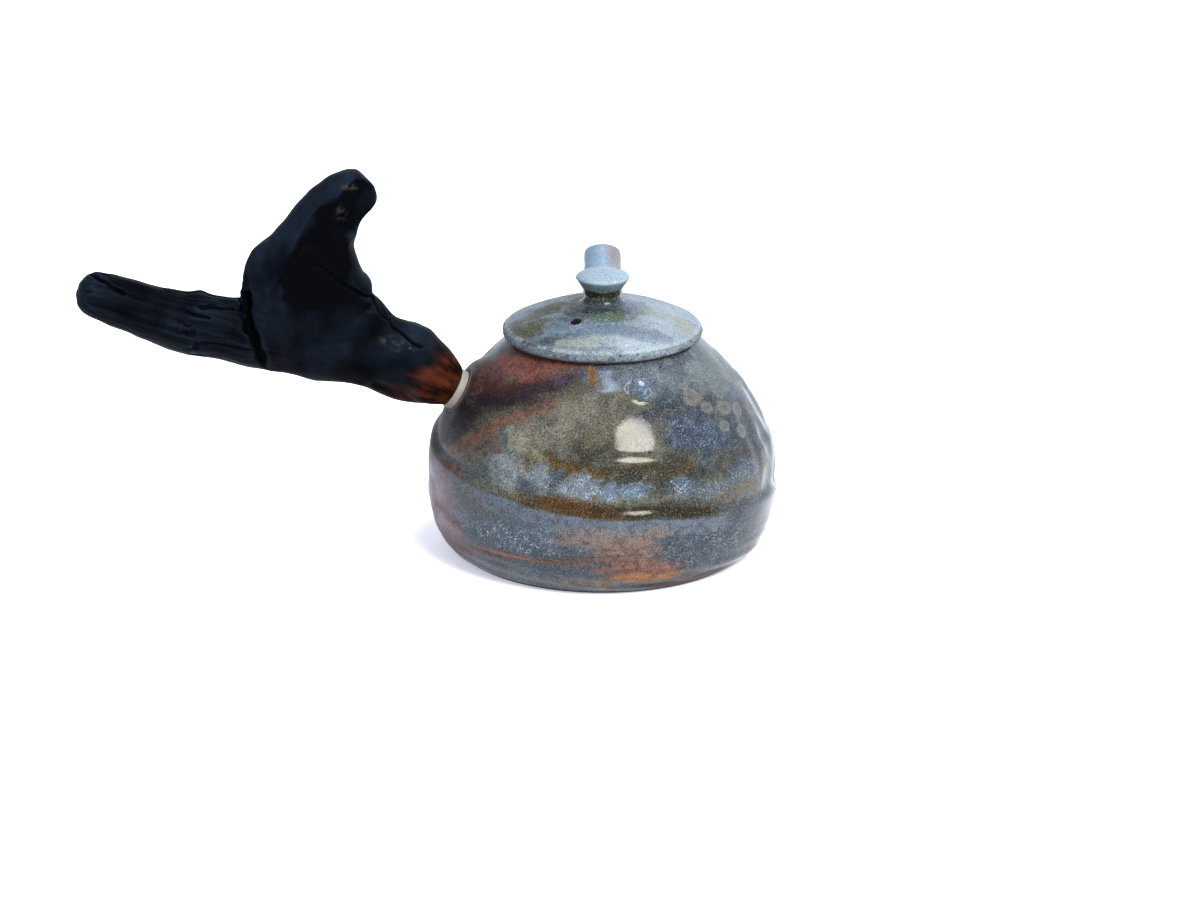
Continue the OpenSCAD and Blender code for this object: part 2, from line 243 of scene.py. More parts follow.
# %% Room
# Direction of the brightest part of the room, and the strength of its light there and in front
BRIGHT_WAY = (0.5, 0.86, -0.1)
ROOM_BRIGHT, ROOM_DIM = 1.7, 0.7
world = bpy.data.worlds.new("bright_room")
bpy.context.scene.world = world
world.use_nodes = True
world.node_tree.nodes.clear()
looking = add_node(world.node_tree, "TexCoord")
facing = add_node(world.node_tree, "VectorMath", {
    0: looking.outputs["Generated"], 1: BRIGHT_WAY}, operation="DOT_PRODUCT")
room = add_node(world.node_tree, "MapRange", {
    "Value": facing.outputs["Value"], "From Min": 0.25, "From Max": 0.95,
    "To Min": ROOM_DIM, "To Max": ROOM_BRIGHT})
sky = add_node(world.node_tree, "Background", {"Color": srgb("#e5ecf6"), "Strength": room})
add_node(world.node_tree, "OutputWorld", {"Surface": sky})
print("room light from", ROOM_DIM, "to", ROOM_BRIGHT)


# %% Lamps
def mirrored(az, slope):
    """Direction that the camera sees mirrored in a wall that faces that way: 2 (n . v) n - v."""
    az, slope = np.radians(az), np.radians(slope)
    normal = np.array([np.sin(az) * np.cos(slope), -np.cos(az) * np.cos(slope), np.sin(slope)])
    return 2 * (normal @ to_camera) * normal - to_camera


LAMP_DISTANCE = 1100
LAMP_AIM = np.array([0, 0, 50])
# Each light: name, direction and slope of the wall where it is mirrored, width, height, watts, colour
LIGHTS = [
    ("softbox", 12.5, 31.5, 470, 480, 14, "#fffaf0"),
    ("skylight", 6.5, 53, 700, 120, 3.8, "#cfe2ff"),
]
for name, az, slope, width, height, watts, colour in LIGHTS:
    lamp = bpy.data.objects.new(name, bpy.data.lights.new(name, "AREA"))
    lamp.data.shape = "ELLIPSE"
    lamp.data.size, lamp.data.size_y = width * MM, height * MM
    lamp.data.energy = watts
    lamp.data.color = srgb(colour)[:3]
    way = mirrored(az, slope)
    lamp.location = (LAMP_AIM + LAMP_DISTANCE * way) * MM
    lamp.rotation_euler = Vector(way).to_track_quat("Z", "Y").to_euler()
    bpy.context.scene.collection.objects.link(lamp)
    print(f"{name} at", np.round(np.array(lamp.location), 2), "m")
bpy.context.scene.view_settings.view_transform = "Standard"
bpy.context.scene.view_settings.look = "Medium High Contrast"

# %% [markdown]
# ## The thrown wall
# The body was thrown in one go: a flat foot, a belly low down, and a shoulder that closes to a small mouth.
# Its outline is an oval quarter below the belly and a parabola above it, as in the construction. The
# potter's fingers left a spiral of broad rings, sharpest in one ridge round the belly; the right side was
# struck with a stick while it was soft. A bump map could fake these, but the lamps' reflections and the
# outline of the pot follow them, so they are real relief.

# %% Outline of the wall
pot_low, pot_high = box_mm("pot_body")
BELLY_R = (pot_high[0] - pot_low[0]) / 2
RIM_Z = pot_high[2]
BELLY_Z = 26
FOOT_R = 45
FOOT_POWER = 1.4
MOUTH_R = 25
RIM_R = 28.5
WALL = 4
FLOOR_Z = 5
FOOT_HOLLOW = 0.6


def wall_radius(z):
    """Radius of the plain wall at a height: an oval quarter up to the belly, then a parabola to the rim."""
    below = np.clip(1 - z / BELLY_Z, 0, 1)
    foot = FOOT_R + (BELLY_R - FOOT_R) * (1 - below ** 2) ** (FOOT_POWER / 2)
    shoulder = RIM_R + (BELLY_R - RIM_R) * (1 - ((z - BELLY_Z) / (RIM_Z - BELLY_Z)) ** 2)
    return np.where(z < BELLY_Z, foot, shoulder)


def azimuth(points):
    """Degrees round the pot from the front, growing to the right."""
    return np.degrees(np.arctan2(points[..., 0], -points[..., 1]))


def turned_about_z(points, degrees):
    """Points turned round the axis of the pot."""
    a = np.radians(degrees)
    return np.stack([points[..., 0] * np.cos(a) - points[..., 1] * np.sin(a),
                     points[..., 0] * np.sin(a) + points[..., 1] * np.cos(a), points[..., 2]], -1)


low_angle = np.radians(np.linspace(90, 0, 44, endpoint=False))
low_wall = np.stack([FOOT_R + (BELLY_R - FOOT_R) * np.cos(low_angle) ** FOOT_POWER,
                     BELLY_Z * (1 - np.sin(low_angle))], -1)
high_z = np.linspace(BELLY_Z, RIM_Z, 94)
outer_line = np.concatenate([low_wall, np.stack([wall_radius(high_z), high_z], -1)])
along_line = np.gradient(outer_line, axis=0)
outward = np.stack([along_line[:, 1], -along_line[:, 0]], -1)
outward /= np.linalg.norm(outward, axis=1, keepdims=True)
print("outer wall:", len(outer_line), "rows, widest", round(outer_line[:, 0].max(), 2), "mm")

# %% [markdown]
# ## Where the handle and the spout stand
# The handle's axis leaves the wall on the left, a little towards the viewer, and the spout's axis leaves it
# at the back. Both are needed before the wall is shaped, because the clay swells round the socket of the
# handle where it was pressed on.

# %% Axes of the handle and the spout
HANDLE_YAW = 8
HANDLE_PITCH = np.radians(30)
SOCKET_Z = 53.5
SPOUT_Z = 47.2
SPOUT_PITCH = np.radians(46)

handle_foot = turned_about_z(np.array([-wall_radius(SOCKET_Z), 0, SOCKET_Z]), HANDLE_YAW)
handle_way = turned_about_z(np.array([-np.cos(HANDLE_PITCH), 0, np.sin(HANDLE_PITCH)]), HANDLE_YAW)
handle_side = turned_about_z(np.array([0, 1, 0]), HANDLE_YAW)
spout_foot = np.array([0, wall_radius(SPOUT_Z), SPOUT_Z])
spout_way = np.array([0, np.cos(SPOUT_PITCH), np.sin(SPOUT_PITCH)])
print("handle leaves the wall at", handle_foot.round(1), " spout at", spout_foot.round(1))

# %% Relief of the wall
# Two throwing spirals climb side by side, and the relief closes on itself after one turn
RING_PITCH = 17
RING_STARTS = 2
RING_LEAN = RING_STARTS * RING_PITCH / 360
LEDGE_Z = 28.6
LEDGE_DEPTH = 0.82
LEDGE_SHARE = 0.24
# The lower wall is a little fuller at the sides than the plain oval
FULL_SIDES = 1.3
# The boss round the socket: height of its face, radius of the face, radius where it ends
BOSS_FACE, BOSS_R, BOSS_END = 0.3, 8.2, 15
# A thumb's print with a raised rim: direction, height, half width in degrees, half height, depth, rim
THUMB_PRINT = (18.5, 63, 5.0, 2.3), 0.45, 0.2
# Dents of the beaten side: direction, height, half width in degrees, half height, depth
BEATEN_DENTS = [
    (66, 47, 5, 7, 0.35), (76, 40, 4, 6, 0.45), (86, 48, 5, 7, 0.6), (71, 29, 5, 4, 0.45),
    (83, 27, 4, 5, 0.7), (94, 35, 5, 7, 0.7), (104, 46, 5, 8, 0.6), (64, 37, 3, 6, 0.25),
    (112, 30, 6, 7, 0.5), (92, 20, 5, 4, 0.4),
]


def above_ledge(points):
    """Height above the main ledge, which climbs as the pot turned under the hand and wanders a little."""
    return points[:, 2] - LEDGE_Z + RING_LEAN * azimuth(points) + 0.8 * soft_noise(points, 18, 4)


def oval(az, z, mid_az, mid_z, half_az, half_z, lean=0.0):
    """Distance from the middle of an oval patch on the wall, counted so that its edge is at 1. The patch
    rises by `lean` mm for each degree to the right."""
    across = (az - mid_az + 180) % 360 - 180
    return np.hypot(across / half_az, (z - mid_z - lean * across) / half_z)


def wall_relief(points):
    """How far the wall stands out from its plain outline: out of round, throwing rings, dents, full lower
    sides, and the boss round the socket."""
    az, z = azimuth(points), points[:, 2]
    turn = np.radians(az)
    relief = 0.25 * np.cos(2 * turn + 0.6) + 0.15 * np.cos(3 * turn - 1)
    ring = above_ledge(points) / RING_PITCH
    climb = ring - np.floor(ring)
    lead = 0.9 + 1.0 * fade(12, 4, np.abs(ring) * RING_PITCH) + 0.3 * soft_noise(points, 30, 1)
    relief += LEDGE_DEPTH * lead * (climb - fade(0, LEDGE_SHARE, climb) + 0.4)
    relief += 0.12 * fade(16, 8, z) * np.cos(2 * np.pi * 4 * ring)
    relief += 0.09 * soft_noise(points, 9, 3)
    for mid_az, mid_z, half_az, half_z, depth in BEATEN_DENTS:
        relief -= depth * fade(1.35, 0.2, oval(az, z, mid_az, mid_z, half_az, half_z))
    place, depth, rim = THUMB_PRINT
    from_thumb = oval(az, z, *place)
    relief += rim * np.exp(-((from_thumb - 1.15) / 0.25) ** 2) - depth * fade(1.1, 0.3, from_thumb)
    relief *= fade(0.0, 5.0, z) * fade(RIM_Z, RIM_Z - 3, z)
    relief += FULL_SIDES * fade(30, 75, np.abs(az)) * fade(0, 3, z) * np.exp(-((z - 8) / 7) ** 2)
    from_foot = points - handle_foot
    along = from_foot @ handle_way
    off_axis = np.linalg.norm(from_foot - along[:, None] * handle_way, axis=1)
    boss = fade(BOSS_END, BOSS_R, off_axis) * (along > -BOSS_END)
    return relief * (1 - boss) + boss * np.maximum(0, BOSS_FACE - along)


# %% [markdown]
# ## The body as one closed skin
# The skin starts in the middle of the foot, climbs the outside, rolls over the rim and comes down inside to
# the middle of the floor. Two plain cylinders then drill the holes for the spout and the handle's socket with
# Boolean modifiers, which are applied at once so that nothing stays live.

# %% Body
POT_COLUMNS = 540
CUTTER_SIDES = 64


def pot_skin():
    """Rows of the closed skin of the pot: foot, outer wall with its relief, rim, inner wall, floor."""
    inner = outer_line - WALL * outward
    inner = inner[(inner[:, 1] > FLOOR_Z + 2) & (inner[:, 0] > MOUTH_R)][::-4]
    foot = np.array([[8, FOOT_HOLLOW], [20, FOOT_HOLLOW], [32, FOOT_HOLLOW], [38, FOOT_HOLLOW * 0.9],
                     [40.5, 0.1], [41.5, 0], [43.5, 0]])
    rim = np.array([[RIM_R - 0.3, RIM_Z - 0.02], [RIM_R - 0.8, RIM_Z], [MOUTH_R + 0.7, RIM_Z],
                    [MOUTH_R + 0.2, RIM_Z - 0.2], [MOUTH_R, RIM_Z - 0.7], [MOUTH_R, inner[0, 1] + 0.5]])
    basin = np.array([[inner[-1, 0] - 1, FLOOR_Z + 0.8], [inner[-1, 0] - 3, FLOOR_Z], [30, FLOOR_Z],
                      [18, FLOOR_Z], [8, FLOOR_Z]])
    outside = turned(outer_line, POT_COLUMNS)
    way = turned(outward, POT_COLUMNS)
    outside += way * wall_relief(outside.reshape(-1, 3)).reshape(outside.shape[:2])[..., None]
    return np.concatenate([turned(foot, POT_COLUMNS), outside,
                           turned(np.concatenate([rim, inner, basin]), POT_COLUMNS)])


def apply_modifiers(piece):
    """Puts the piece's evaluated mesh in place of its own, and drops the modifiers."""
    graph = bpy.context.evaluated_depsgraph_get()
    shaped = bpy.data.meshes.new_from_object(piece.evaluated_get(graph))
    piece.modifiers.clear()
    piece.data = shaped
    shaped.shade_smooth()


def drill(piece, radius, origin, way, side, reach):
    """Drills a round hole through a piece along an axis, `reach` mm to each side of its origin."""
    bar = np.array([[radius, -reach], [radius, reach]])
    cutter = make_piece("cutter", *skin(turned(bar, CUTTER_SIDES, origin, way, side)))
    cut = piece.modifiers.new("hole", "BOOLEAN")
    cut.operation = "DIFFERENCE"
    cut.solver = "EXACT"
    cut.object = cutter
    apply_modifiers(piece)
    bpy.data.objects.remove(cutter)


HOLE_REACH = 12
SPOUT_HOLE_R = 9
SOCKET_HOLE_R = 7.8
pot = make_piece("thrown_pot", *skin(pot_skin()))
drill(pot, SPOUT_HOLE_R, spout_foot, spout_way, (1, 0, 0), HOLE_REACH)
drill(pot, SOCKET_HOLE_R, handle_foot, handle_way, handle_side, HOLE_REACH)
print("pot skin:", len(pot.data.vertices), "points")

# %% [markdown]
# ## How the fire painted the wall
# The flame came from the left: there the clay flashed to terracotta, plum and orange. Ash fell on the front
# and right, and melted to an olive and slate glaze that breaks to amber on the ridge and gathers in pale blue
# pools below it. The colours are laid on as soft, ragged ovals, one over the other, each where the flame or
# the run of the glaze put it; a few of them are painted reflections of the sky, the room and a window. There
# are two layers: the ash, and the flashed clay where it left the wall bare. Kept per point are the tints of
# both, how far the flashed clay covers, a gloss, and how much of the blue-white crystal of the pools there
# is.
# The grain that is finer than the mesh is left to the shader.

# %% Patches of the glaze
# Each patch of ash glaze: tint, direction from the front in degrees, height, half width in degrees, half
# height, lean in mm per degree, raggedness, cover, gloss, crystal
ASH_PATCHES = [
    ("#6a695b", 3, 52, 42, 13.5, 0.0, 0.35, 0.95, 0.95, 0.1),  # olive ash over the front
    ("#8a8575", -21, 52.5, 14, 5, 0.1, 0.5, 0.8, 0.9, 0.15),  # paler towards the flame
    ("#69747f", 24, 66, 36, 4.4, -0.04, 0.5, 0.9, 0.8, 0.3),  # grey ash under the lid
    ("#3c4650", 54, 50, 31, 11, -0.12, 0.45, 0.95, 0.95, 0.2),  # dark slate on the right
    ("#4a5b74", 37, 49.5, 13, 4.5, -0.15, 0.6, 0.6, 0.95, 0.6),  # blue that shines out of it
    ("#808b89", 62, 62.5, 31, 4.4, -0.16, 0.8, 0.8, 0.15, 0.0),  # dry ash on the right shoulder
    ("#868e8c", 108, 58, 30, 6, -0.03, 0.5, 0.9, 0.15, 0.0),  # and on round the back
    ("#868e8c", 160, 60, 40, 6, 0.02, 0.5, 0.9, 0.15, 0.0),
    ("#46412f", 12, 41.5, 42, 4.2, -0.04, 0.6, 0.9, 0.95, 0.0),  # thin dark glaze above the pools
    ("#74642f", 26, 40.5, 4, 2, 0.0, 0.9, 0.35, 0.9, 0.0),  # amber flecks in it
    ("#6e5426", -21, 43.5, 6, 2.8, 0.0, 0.7, 0.8, 0.95, 0.0),
    ("#6e5426", -8, 41.5, 8, 2.6, 0.0, 0.7, 0.8, 0.95, 0.0),
    ("#7d8b95", -19, 38.8, 5, 3, 0.0, 0.6, 0.85, 0.95, 0.9),  # pools in the ring below
    ("#7d8b95", -6.5, 37.8, 7, 3, 0.0, 0.6, 0.85, 0.95, 1.0),
    ("#6f8296", 10, 37, 7, 3, 0.0, 0.6, 0.85, 0.95, 1.0),
    ("#5d6d7e", 25, 35.6, 4.5, 2.6, 0.0, 0.6, 0.8, 0.95, 0.9),
    ("#566472", 37, 33.6, 5, 2.4, 0.0, 0.6, 0.75, 0.95, 0.8),
    ("#4f5e70", 52, 35.5, 6, 4, 0.0, 0.6, 0.7, 0.95, 0.7),
    ("#3f3d2c", 18.5, 34.5, 3.2, 4, 0.0, 0.6, 0.85, 0.95, 0.0),  # dark between them
    ("#47463a", -2, 48.5, 9, 4, 0.1, 0.6, 0.7, 0.95, 0.0),  # dark in the middle of the front
    ("#8a8578", -8, 59, 15, 2.8, 0.1, 0.6, 0.6, 0.95, 0.0),  # paler near the top
    ("#3d3a3e", -80, 47, 25, 12, 0.1, 0.3, 0.9, 0.6, 0.0),  # smoked ash on the left
    ("#6f87a4", 18.5, 63, 4.5, 2.2, 0.0, 0.3, 0.6, 0.95, 0.5),  # blue in the thumb print, laid on as a pool: a painted reflection of the sky
    ("#8f9695", -36, 39.5, 11, 5.5, -0.12, 0.5, 0.9, 0.95, 0.6),  # pale pool on the left
    ("#a9a48e", -31.5, 48.5, 8, 2.2, -0.22, 0.5, 0.7, 0.9, 0.1),  # pale fan above it: a painted reflection of a window
    ("#8c6a48", -41.5, 48, 3.5, 2.2, 0.0, 0.6, 0.8, 0.9, 0.0),
    ("#a39c86", -33, 34.8, 10, 0.8, -0.15, 0.5, 0.7, 0.9, 0.0),  # cream line where the pool ends
    ("#634519", -10, 31.6, 21, 2.2, -0.1, 0.3, 0.95, 0.95, 0.0),  # amber on the ridge
    ("#35301f", 25, 28.8, 20, 3.0, -0.1, 0.3, 0.95, 0.95, 0.0),  # darker further along it
    ("#5d6b75", -31, 19.8, 22, 4.6, -0.03, 0.5, 0.9, 0.9, 0.9),  # speckled blue below
    ("#404d58", 44, 15, 24, 7.5, -0.12, 0.5, 0.9, 0.9, 0.7),
    ("#66625f", 50, 26, 10, 3.6, -0.2, 0.6, 0.7, 0.8, 0.1),  # brown-grey cloud on the right
    ("#34404b", 70, 15, 24, 10, -0.05, 0.4, 0.9, 0.7, 0.2),
    ("#717a7e", -32, 4.6, 32, 3.4, 0.0, 0.45, 0.85, 0.5, 0.3),  # grey glaze on the foot
    ("#b8892c", -6.4, 68.2, 1.3, 1.8, 0.0, 0.4, 0.9, 0.95, 0.0),  # amber drip
    ("#8a5a1c", -5.4, 66, 1.7, 2.0, 0.0, 0.4, 0.9, 0.95, 0.0),
    ("#66727f", 86, 36, 14, 15, 0.0, 0.6, 0.45, 0.45, 0.2),  # paler blue-grey on the beaten side: a painted sheen where the edge mirrors the bright room
    ("#6c6a52", 150, 40, 32, 10, -0.1, 0.5, 0.85, 0.9, 0.2),  # olive ash at the back
    ("#7d8b95", 170, 35, 16, 3, -0.1, 0.6, 0.8, 0.95, 0.9),
    ("#6d4a1a", 165, 27, 40, 1.6, -0.125, 0.4, 0.85, 0.95, 0.0),
]
# Each patch of smooth or flashed clay that the ash left bare: the same without crystal
FLASH_PATCHES = [
    ("#60524a", -28, 12.4, 30, 1.6, 0.06, 0.4, 0.9, 0.7),  # brown band round the lower wall
    ("#958374", 2, 21, 19, 3.6, 0.0, 0.14, 0.72, 0.75),  # flash on the lower front, tan above
    ("#957a6c", 9, 15.5, 13, 5.4, 0.0, 0.14, 0.8, 0.75),
    ("#916a5d", 11, 11, 19, 2.8, 0.0, 0.16, 0.9, 0.75),  # red in the middle
    ("#9b765f", 13, 7.2, 17, 2.6, 0.0, 0.16, 0.95, 0.75),  # and orange below
    ("#71504a", 16, 9.4, 15, 0.9, 0.0, 0.16, 0.8, 0.75),  # with dark and bright streaks
    ("#b98255", 15, 7.6, 15, 0.8, 0.0, 0.16, 0.85, 0.75),
    ("#b08057", 17, 5.6, 13, 0.7, 0.0, 0.16, 0.8, 0.75),
    ("#8a7f76", -6, 5.4, 10, 2.0, 0.0, 0.5, 0.8, 0.6),  # tan at the foot
    ("#2c2420", 34, 2.6, 20, 1.5, -0.02, 0.5, 0.95, 0.3),  # bare clay at the foot
    ("#84666f", -86, 21, 30, 13, 0.1, 0.2, 0.97, 0.25),  # pink flash on the left edge
    ("#84696a", -66, 30, 7, 6, 0.3, 0.4, 0.8, 0.7),  # with a browner border
    ("#84696a", -62, 14, 7, 5, 0.1, 0.4, 0.8, 0.7),
    ("#8d6c66", -108, 19, 20, 11, 0.1, 0.35, 0.95, 0.6),
    ("#5a4a56", -76, 29.5, 5, 2.6, 0.1, 0.6, 0.8, 0.7),  # plum blotches
    ("#5a4a56", -84, 19, 6, 2.4, 0.1, 0.6, 0.75, 0.7),
    ("#5a4a56", -66, 12, 5, 1.8, 0.1, 0.6, 0.75, 0.7),
    ("#69564f", -64, 8.5, 20, 4.2, 0.05, 0.25, 0.95, 0.35),  # brown clay at the foot
    ("#7b6656", -58, 35, 6, 3.0, 0.1, 0.3, 0.85, 0.6),
    ("#1e181f", -80, 47, 25, 12, 0.1, 0.2, 0.97, 0.15),  # smoke-dark left side
    ("#78695d", -49, 44.5, 10, 6, 0.3, 0.3, 0.8, 0.8),  # brown clay that shines through
    ("#7b6151", -57, 44.5, 9, 2.6, 0.8, 0.3, 0.85, 0.7),  # orange edge of the flame
    ("#84695a", -46, 51.6, 9, 2.8, 0.5, 0.25, 0.85, 0.7),
    ("#8a6d5a", -32, 57, 19, 3.2, 0.27, 0.3, 0.9, 0.7),
    ("#33292f", -47, 59.8, 36, 4.2, 0.2, 0.2, 0.95, 0.5),  # plum band
    ("#46353c", -24, 64, 16, 3.4, 0.15, 0.25, 0.9, 0.6),
    ("#57362f", -70, 63, 26, 6, 0.1, 0.3, 0.95, 0.4),  # smoked clay beside the handle
    ("#935d52", -44, 67.4, 32, 3.6, 0.08, 0.25, 0.95, 0.35),  # terracotta under the lid
    ("#5f4b50", -104, 60, 24, 7, 0.1, 0.3, 0.85, 0.3),  # greyer towards the back
    ("#62566a", -19, 65.6, 8, 1.6, 0.15, 0.3, 0.5, 0.8),  # purple sheen at the plum band's tip: a painted reflection of the sky
    ("#8a5f4a", -140, 18, 34, 8, 0.15, 0.4, 0.9, 0.7),  # flash at the back left
    ("#46414a", -134, 44, 26, 11, 0.1, 0.35, 0.85, 0.7),
]
# Smooth slate glaze in a band under the main ledge
SLATE_BAND = "#707d88"
# Round spots of dry ash: direction, height, radius
ASH_SPOTS = [
    (42.2, 58.5, 3.1), (47.8, 55, 2.0), (57.5, 54.1, 2.7), (51.2, 49.3, 2.0), (61.8, 46.1, 2.2),
    (66, 52, 2.4), (78, 49, 2.6), (90, 53, 2.3), (104, 50, 3.0), (118, 53, 2.2), (126, 46, 2.6),
    (146, 52, 2.4), (60, 58, 1.5),
]
print("glaze:", len(ASH_PATCHES) + len(FLASH_PATCHES), "patches and", len(ASH_SPOTS), "spots")

# %% Painting the wall
SLATE_GROUND, OLIVE_GROUND = "#5a6670", "#66654f"
GOLD_MOTTLE, SLATE_MOTTLE = "#7f765c", "#39434a"
# A spot of dry ash is greyer in its middle
SPOT_TINT, SPOT_MIDDLE = "#87857a", "#646a70"
# A tint is picked as the lit glaze looks, and the white room lights it more than that, so it is darkened
LIT_SHARE = np.array([0.55, 0.55, 0.57, 1])


def lay_on(values, mask, value):
    """Paints a value over an array, as far as the mask covers."""
    mask = mask if values.ndim == 1 else mask[:, None]
    return values + mask * (np.asarray(value) - values)


def coats(tint, *layers):
    """Lays coats of colour over a tint, in order: each is a mask and a hex colour."""
    for mask, colour in layers:
        tint = lay_on(tint, mask, srgb(colour))
    return tint


def paint_wall(points):
    """Ash tint, gloss, crystal, flash tint and flash cover of the wall: a mottled slate ground, the patches
    of both layers in order, then the spots."""
    az, z = azimuth(points), points[:, 2]
    rough = noise_sum(points, (1, 6, 11), (0.8, 2.6, 12), (0.6, 1.3, 17))
    drift = 0.5 + 0.5 * soft_noise(points * (1, 1, 1.6), 24, 13)
    az = az + 3.0 * soft_noise(points, 12, 14)
    z = z + 1.2 * soft_noise(points, 10, 15)
    olive = fade(0.3, 0.8, drift) * fade(22, 32, z)
    tint = coats(np.tile(srgb(SLATE_GROUND), (len(points), 1)), (olive, OLIVE_GROUND))
    gloss = np.full(len(points), 0.9)
    crystal = 0.15 * drift
    for colour, mid_az, mid_z, half_az, half_z, lean, ragged, cover, shine, milk in ASH_PATCHES:
        away = oval(az, z, mid_az, mid_z, half_az, half_z, lean) + ragged * rough
        mask = cover * fade(1.45, 0.5, away)
        tint = lay_on(tint, mask, srgb(colour))
        gloss = lay_on(gloss, mask, shine)
        crystal = lay_on(crystal, mask, milk)
    wisp = noise_sum(points, (1, (18, 18, 3.2), 18), (0.7, (8, 8, 1.5), 19), (0.4, (2.4, 2.4, 1.0), 20))
    mottle = noise_sum(points, (1, (4, 4, 2.6), 24), (0.7, 1.6, 25))
    front = fade(1.3, 0.7, oval(az, z, 8, 47, 46, 15))
    tint = coats(tint * (1 + 0.2 * mottle)[:, None], (front * fade(0.1, 1.4, mottle) * 0.5, GOLD_MOTTLE),
                 (front * fade(-0.1, -1.4, mottle) * 0.6, SLATE_MOTTLE))
    flash = np.tile(srgb(SLATE_BAND), (len(points), 1))
    high = above_ledge(points)
    flash_cover = 1.3 * fade(0.3, -0.4, high) * fade(-7, -3, high) * fade(54, 38, np.abs(az + 2))
    gloss = lay_on(gloss, np.clip(flash_cover, 0, 1), 0.9)
    for colour, mid_az, mid_z, half_az, half_z, lean, ragged, cover, shine in FLASH_PATCHES:
        away = oval(az, z, mid_az, mid_z, half_az, half_z, lean) + ragged * wisp
        mask = fade(1.7, 0.3, away)
        flash = lay_on(flash, cover * fade(1.6, 0.75, away), srgb(colour))
        flash_cover = np.maximum(flash_cover, mask)
        gloss = lay_on(gloss, mask, shine)
    for mid_az, mid_z, radius in ASH_SPOTS:
        half_az = 1.4 * np.degrees(radius / wall_radius(mid_z))
        away = oval(az, z, mid_az, mid_z, half_az, radius * 0.85) + 0.14 * rough
        mask = 0.85 * fade(1.15, 0.85, away)
        tint = coats(tint, (mask, SPOT_TINT), (0.7 * fade(0.8, 0.3, away), SPOT_MIDDLE))
        gloss = lay_on(gloss, mask, 0.35)
        crystal = lay_on(crystal, mask, 0.0)
    return tint, gloss, crystal, flash, flash_cover


# %% Colours of the pot, inside and out
# The paper lights the lower wall from below, so its ash is darkened by this share
PAPER_LIGHT = 0.25
INSIDE_TINT, INSIDE_GLOSS = "#5b5148", 0.45
CLAY_TINT = "#2e2520"


def points_of(piece):
    """All points of a piece's mesh as an array, in millimetres."""
    flat = np.empty(len(piece.data.vertices) * 3, np.float32)
    piece.data.vertices.foreach_get("co", flat)
    return flat.reshape(-1, 3).astype(float) / MM


def store(piece, name, values):
    """Keeps one number, vector or colour per point as a named attribute that the shaders read."""
    kind, key = {1: ("FLOAT", "value"), 3: ("FLOAT_VECTOR", "vector"), 4: ("FLOAT_COLOR", "color")}[
        values.shape[1] if values.ndim > 1 else 1]
    attribute = piece.data.attributes.new(name, kind, "POINT")
    attribute.data.foreach_set(key, values.astype(np.float32).ravel())


def store_glaze(piece, tint, gloss, crystal):
    """Keeps what every glaze reads of its points, with the tint darkened for the bright room."""
    store(piece, "tint", tint * LIT_SHARE)
    store(piece, "gloss", gloss)
    store(piece, "crystal", crystal)


def paint_pot(piece):
    """Stores both layers of the painted wall outside, a plain wash inside and bare clay underneath."""
    points = points_of(piece)
    tint, gloss, crystal, flash, flash_cover = paint_wall(points)
    radius = np.hypot(points[:, 0], points[:, 1])
    inside = fade(1.4, 2.4, wall_radius(np.clip(points[:, 2], 0, RIM_Z)) - radius)
    inside = np.maximum(inside, fade(RIM_Z - 0.6, RIM_Z - 0.1, points[:, 2]))
    bare = fade(1.7, 0.8, points[:, 2] + 0.3 * soft_noise(points, 3, 16))
    for mask, colour, shine in ((inside, INSIDE_TINT, INSIDE_GLOSS), (bare, CLAY_TINT, 0.0)):
        tint = lay_on(tint, mask, srgb(colour))
        gloss = lay_on(gloss, mask, shine)
        crystal = lay_on(crystal, mask, 0.0)
        flash_cover = lay_on(flash_cover, mask, 0.0)
    tint = tint * (1 - PAPER_LIGHT * fade(30, 14, points[:, 2]))[:, None]
    store_glaze(piece, tint, gloss, crystal)
    store(piece, "flash", flash * LIT_SHARE)
    store(piece, "flash_cover", flash_cover)
    store(piece, "streaky", fade(21, 12, points[:, 2]) * fade(-62, -40, azimuth(points)))


paint_pot(pot)
print("painted points:", len(pot.data.vertices))

# %% [markdown]
# ## Wood-ash glaze
# Natural ash glaze is a thick runny glass: glossy, with a salt-and-pepper grain of iron and ash about half a
# millimetre across, milky crystals where it is deep, and now and then a pinhole. The point attributes give
# its tint and gloss; noise in millimetres adds the grain. Where the clay was only flashed, the second layer
# shows through in a spray of grains. Where the ash did not melt, the low gloss turns into a rough, dry
# surface.

# %% Wood-ash glaze
# Sizes in mm: milky crystals, their clumps, the spray where the layers meet, pinholes, waves of the skin
FLAKE_MM, CLUMP_MM, SPRAY_MM, PINHOLE_MM, WAVE_MM = 0.62, 2.4, 0.8, 13, 3.0


